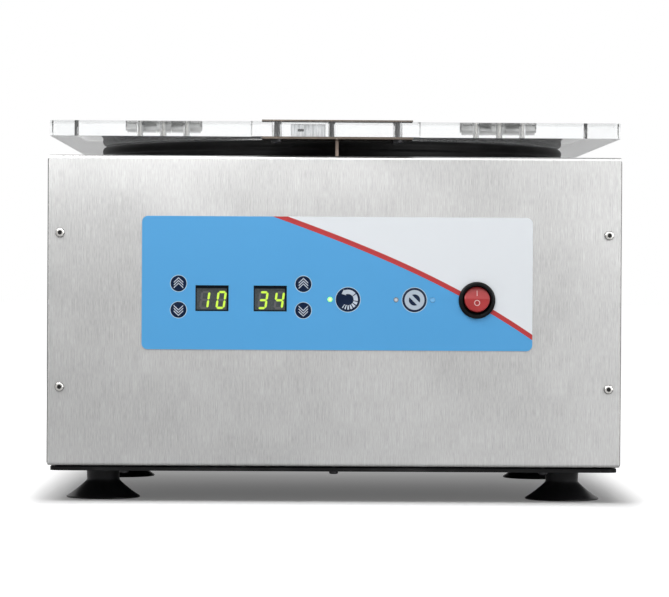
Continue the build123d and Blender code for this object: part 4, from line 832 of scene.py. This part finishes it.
def bar_shape(ends):
    """A bar with pointed ends, upright or level, in millimetres from the digit's middle."""
    (x1, z1), (x2, z2) = [(digit_half * side, digit_rise * up) for side, up in ends]
    if z1 == z2:
        low, high = x1 + bar_gap, x2 - bar_gap
        along = [(low, 0), (low + bar_half, bar_half), (high - bar_half, bar_half), (high, 0)]
        return [(x, z1 + z) for x, z in along + [(high - bar_half, -bar_half), (low + bar_half, -bar_half)]]
    low, high = z1 + bar_gap, z2 - bar_gap
    along = [(0, low), (-bar_half, low + bar_half), (-bar_half, high - bar_half), (0, high)]
    return [(x1 + x, z) for x, z in along + [(bar_half, high - bar_half), (bar_half, low + bar_half)]]


lit_outlines, dim_outlines = [], []
before_front = front_y - 0.3
for middle_x, reading in ((modules_low.x + module_half, "10"), (modules_high.x - module_half, "34")):
    for place, number in zip(digit_places, reading):
        for bar, ends in bars.items():
            outline = []
            for x, z in bar_shape(ends):
                bar_x = middle_x + (place + x + digit_slant * z) / 1000
                outline.append(Vector((bar_x, before_front, display_z + (z - digit_drop) / 1000)))
            (lit_outlines if bar in numbers[number] else dim_outlines).append(outline)
printed("display_lit_bars", lit_outlines, "display_modules", glow)
printed("display_unlit_bars", dim_outlines, "display_modules", dim)


# ---- Lamps ----
# Three round light pipes pressed through the panel. The run lamp shines green, and the unlit ones
# beside the stop key are clear on its left and tinted blue on its right.
def lamp_finish(name, middles, radius, inside, outside, plain):
    """A lamp's colour goes from its middle to its rim."""
    lens_finish = Finish(name, plain)
    distances = []
    for x, z in middles:
        across, up = lens_finish.x - x, lens_finish.z - z
        distances.append((across * across + up * up) ** 0.5)
    nearest = distances[0]
    for distance in distances[1:]:
        nearest = nearest.reckon("MINIMUM", nearest, distance)
    return lens_finish, (nearest / radius).rising(0.2, 1.0).between(inside, outside)


run_low, run_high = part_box("lamp_run")
lamp_radius = (run_high.z - run_low.z) / 2
run_middle = [((run_low.x + run_high.x) / 2, (run_low.z + run_high.z) / 2)]
lit_middle, lit_rim = (0.55, 1.0, 0.30, 1), (0.22, 0.78, 0.17, 1)
green_lamp, green = lamp_finish(
    "green_lamp", run_middle, lamp_radius, lit_middle, lit_rim, {"Emission Strength": 1.0}
)
green_lamp.give("Base Color", green)
green_lamp.give("Emission Color", green)
green_lamp.dress("lamp_run")
unlit_low, unlit_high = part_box("lamps_unlit")
unlit_z = (unlit_low.z + unlit_high.z) / 2
unlit_middles = [(unlit_low.x + lamp_radius, unlit_z), (unlit_high.x - lamp_radius, unlit_z)]
clear_middle, clear_rim = (0.62, 0.64, 0.66, 1), (0.19, 0.22, 0.26, 1)
unlit_lamp, grey_tone = lamp_finish(
    "unlit_lamp", unlit_middles, lamp_radius, clear_middle, clear_rim, {"Roughness": 0.25}
)
between_lamps = (unlit_low.x + unlit_high.x) / 2
blue_one = unlit_lamp.x.rising(between_lamps - lamp_radius, between_lamps + lamp_radius)
unlit_lamp.give("Base Color", blue_one.between(grey_tone, (0.16, 0.46, 0.80, 1)))
unlit_lamp.dress("lamps_unlit")


# ---- Power switch ----
# A round snap-in switch: black bezel and body, and a red rocker with white signs.
moulded_plastic("switch_black", (0.005, 0.005, 0.0055, 1), 0.35, 0.06).dress("switch_body", "key_switches")
moulded_plastic("rocker_red", (0.39, 0.032, 0.034, 1), 0.36).dress("power_rocker")
white_ink = moulded_plastic("rocker_ink", (0.66, 0.47, 0.47, 1), 0.5)
rocker_x = (rocker_low.x + rocker_high.x) / 2
on_rise, on_half, on_weight = 4.1, 1.65, 0.19
off_drop, off_inner, off_outer = 1.9, 1.35, 1.82
rocker_shapes = [[(on_weight * side, on_rise + on_half * up) for side, up in corners]]
for start in (0, 90, 180, 270):
    quarter = band(off_inner, off_outer, start, start + 90)
    rocker_shapes.append([(x, z - off_drop) for x, z in quarter])
rocker_signs = [
    [Vector((rocker_x + x / 1000, before_front, row_z + z / 1000)) for x, z in shape]
    for shape in rocker_shapes
]
printed("rocker_signs", rocker_signs, "power_rocker", white_ink)


# ---- Mains inlet and fuse holder ----
# Black moulded housings in the back sheet, with folded brass pins in the inlet.
moulded_plastic("inlet_plastic", (0.016, 0.016, 0.017, 1), 0.42).dress("power_inlet", "fuse_holder")
plated_steel("brass", (0.72, 0.55, 0.26, 1), 0.25).dress("inlet_pins")


# ---- Vent hoods ----
# Hoods pressed out of the back over each vent slot, open below, so that drips run past. One hood
# is made from its section, and the pattern sets three columns of seven over the slots.
def capped(section, half, wall):
    """A bent sheet of this section, as long as 2 * half, with a wall that closes each end."""
    outer, inner = section
    closing = outer + [(0, outer[-1][1])]
    stretches = (
        (-half, half, outer + inner),
        (-half, wall - half, closing),
        (half - wall, half, closing),
    )
    shape = bmesh.new()
    for start, end, ring in stretches:
        rings = [[shape.verts.new((x, y, z)) for y, z in ring] for x in (start, end)]
        shape.faces.new(rings[0])
        shape.faces.new(reversed(rings[1]))
        for step in range(len(ring)):
            after = (step + 1) % len(ring)
            shape.faces.new((rings[0][after], rings[0][step], rings[1][step], rings[1][after]))
    bmesh.ops.recalc_face_normals(shape, faces=shape.faces)
    mesh = bpy.data.meshes.new("one_hood")
    shape.to_mesh(mesh)
    shape.free()
    return mesh


hood_outer = [(0.0, 2.9), (0.9, 2.7), (1.7, 2.1), (2.3, 1.1), (2.6, -0.1), (2.7, -1.7)]
hood_inner = [(2.0, -1.7), (1.9, -0.1), (1.6, 0.8), (1.1, 1.5), (0.5, 1.9), (0.0, 2.1)]
hood_section = [[(y / 1000, z / 1000) for y, z in outline] for outline in (hood_outer, hood_inner)]
one_hood = capped(hood_section, 0.0202, 0.0007)
vent_low_x, vent_low_z = 0.022, 0.0467
vent_width, vent_tall, vent_step_x, vent_step_z = 0.038, 0.0032, 0.046, 0.009
vent_columns, vent_rows = 3, 7


def over_the_vents(made, given):
    """Copies in columns and rows on an upright plane."""
    grid = made(
        "GeometryNodeMeshGrid", {},
        {
            "Size X": given["Width"], "Size Y": given["Height"],
            "Vertices X": given["Columns"], "Vertices Y": given["Rows"],
        },
    )
    upright = made("GeometryNodeTransform", {}, {"Geometry": grid, "Rotation": (pi / 2, 0, 0)})
    moved = made("GeometryNodeTransform", {}, {"Geometry": upright, "Translation": given["Middle"]})
    return made("GeometryNodeInstanceOnPoints", {}, {"Points": moved, "Instance": given["Piece"]})


back_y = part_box("cabinet_wrap")[1].y
hoods_width, hoods_height = (vent_columns - 1) * vent_step_x, (vent_rows - 1) * vent_step_z
hoods_x = vent_low_x + (vent_width + hoods_width) / 2
hoods_z = vent_low_z + (vent_tall + hoods_height) / 2
hood_sizes = {
    "Width": hoods_width, "Height": hoods_height,
    "Columns": vent_columns, "Rows": vent_rows,
    "Middle": (hoods_x, back_y, hoods_z),
}
hoods = repeated("vent_hoods", one_hood, hood_sizes, over_the_vents, sheet_steel)
fit("vent_hoods", hoods, sheet_steel, "cabinet")


# ---- Rating plate ----
# A bare satin aluminium plate on the back over the fuse holder, held by a rivet in each corner.
plate_half, plate_rise, plate_thick = 0.030, 0.017, 0.0005
rivet_radius, rivet_inset, rivet_squash = 0.0013, 0.003, 0.5
plate_x, plate_z = -0.089, 0.104
plate_shape = bmesh.new()
bmesh.ops.create_cube(plate_shape, size=1.0)
bmesh.ops.scale(plate_shape, vec=(2 * plate_half, plate_thick, 2 * plate_rise), verts=plate_shape.verts)
bmesh.ops.translate(plate_shape, vec=(plate_x, back_y + plate_thick / 2, plate_z), verts=plate_shape.verts)
low_dome = Matrix.Diagonal((1, rivet_squash, 1, 1))
for side, up in corners:
    rivet_x = plate_x + side * (plate_half - rivet_inset)
    rivet_z = plate_z + up * (plate_rise - rivet_inset)
    set_in = Matrix.Translation((rivet_x, back_y + plate_thick, rivet_z)) @ low_dome
    bmesh.ops.create_icosphere(plate_shape, subdivisions=2, radius=rivet_radius, matrix=set_in)
plate_mesh = bpy.data.meshes.new("rating_plate")
plate_shape.to_mesh(plate_mesh)
plate_shape.free()
plate_metal = plated_steel("satin_aluminium", (0.62, 0.625, 0.63, 1), 0.38)
fit("rating_plate", plate_mesh, plate_metal, "cabinet")


# ---- Boards ----
# Green boards with printed tracks, and the parts that stand on the power board.
board_finish = Finish("circuit_board", {})
tracks = board_finish.point.noise((0.004, 0.0011, 0.0022), 0.0)
soldered = board_finish.point.noise(0.0016, 0.0)
on_track = tracks.rising(0.49, 0.52)
mask_green = on_track.between((0.012, 0.085, 0.035, 1), (0.02, 0.14, 0.055, 1))
board_finish.give("Base Color", soldered.rising(0.66, 0.68).between(mask_green, (0.55, 0.53, 0.48, 1)))
board_finish.give("Roughness", 0.3 + 0.2 * tracks)
board_finish.emboss(on_track, 0.00003)
board_finish.dress("control_board", "power_board")
black_paint("part_sleeves", (0.045, 0.05, 0.062, 1), 0.45).dress("power_parts")
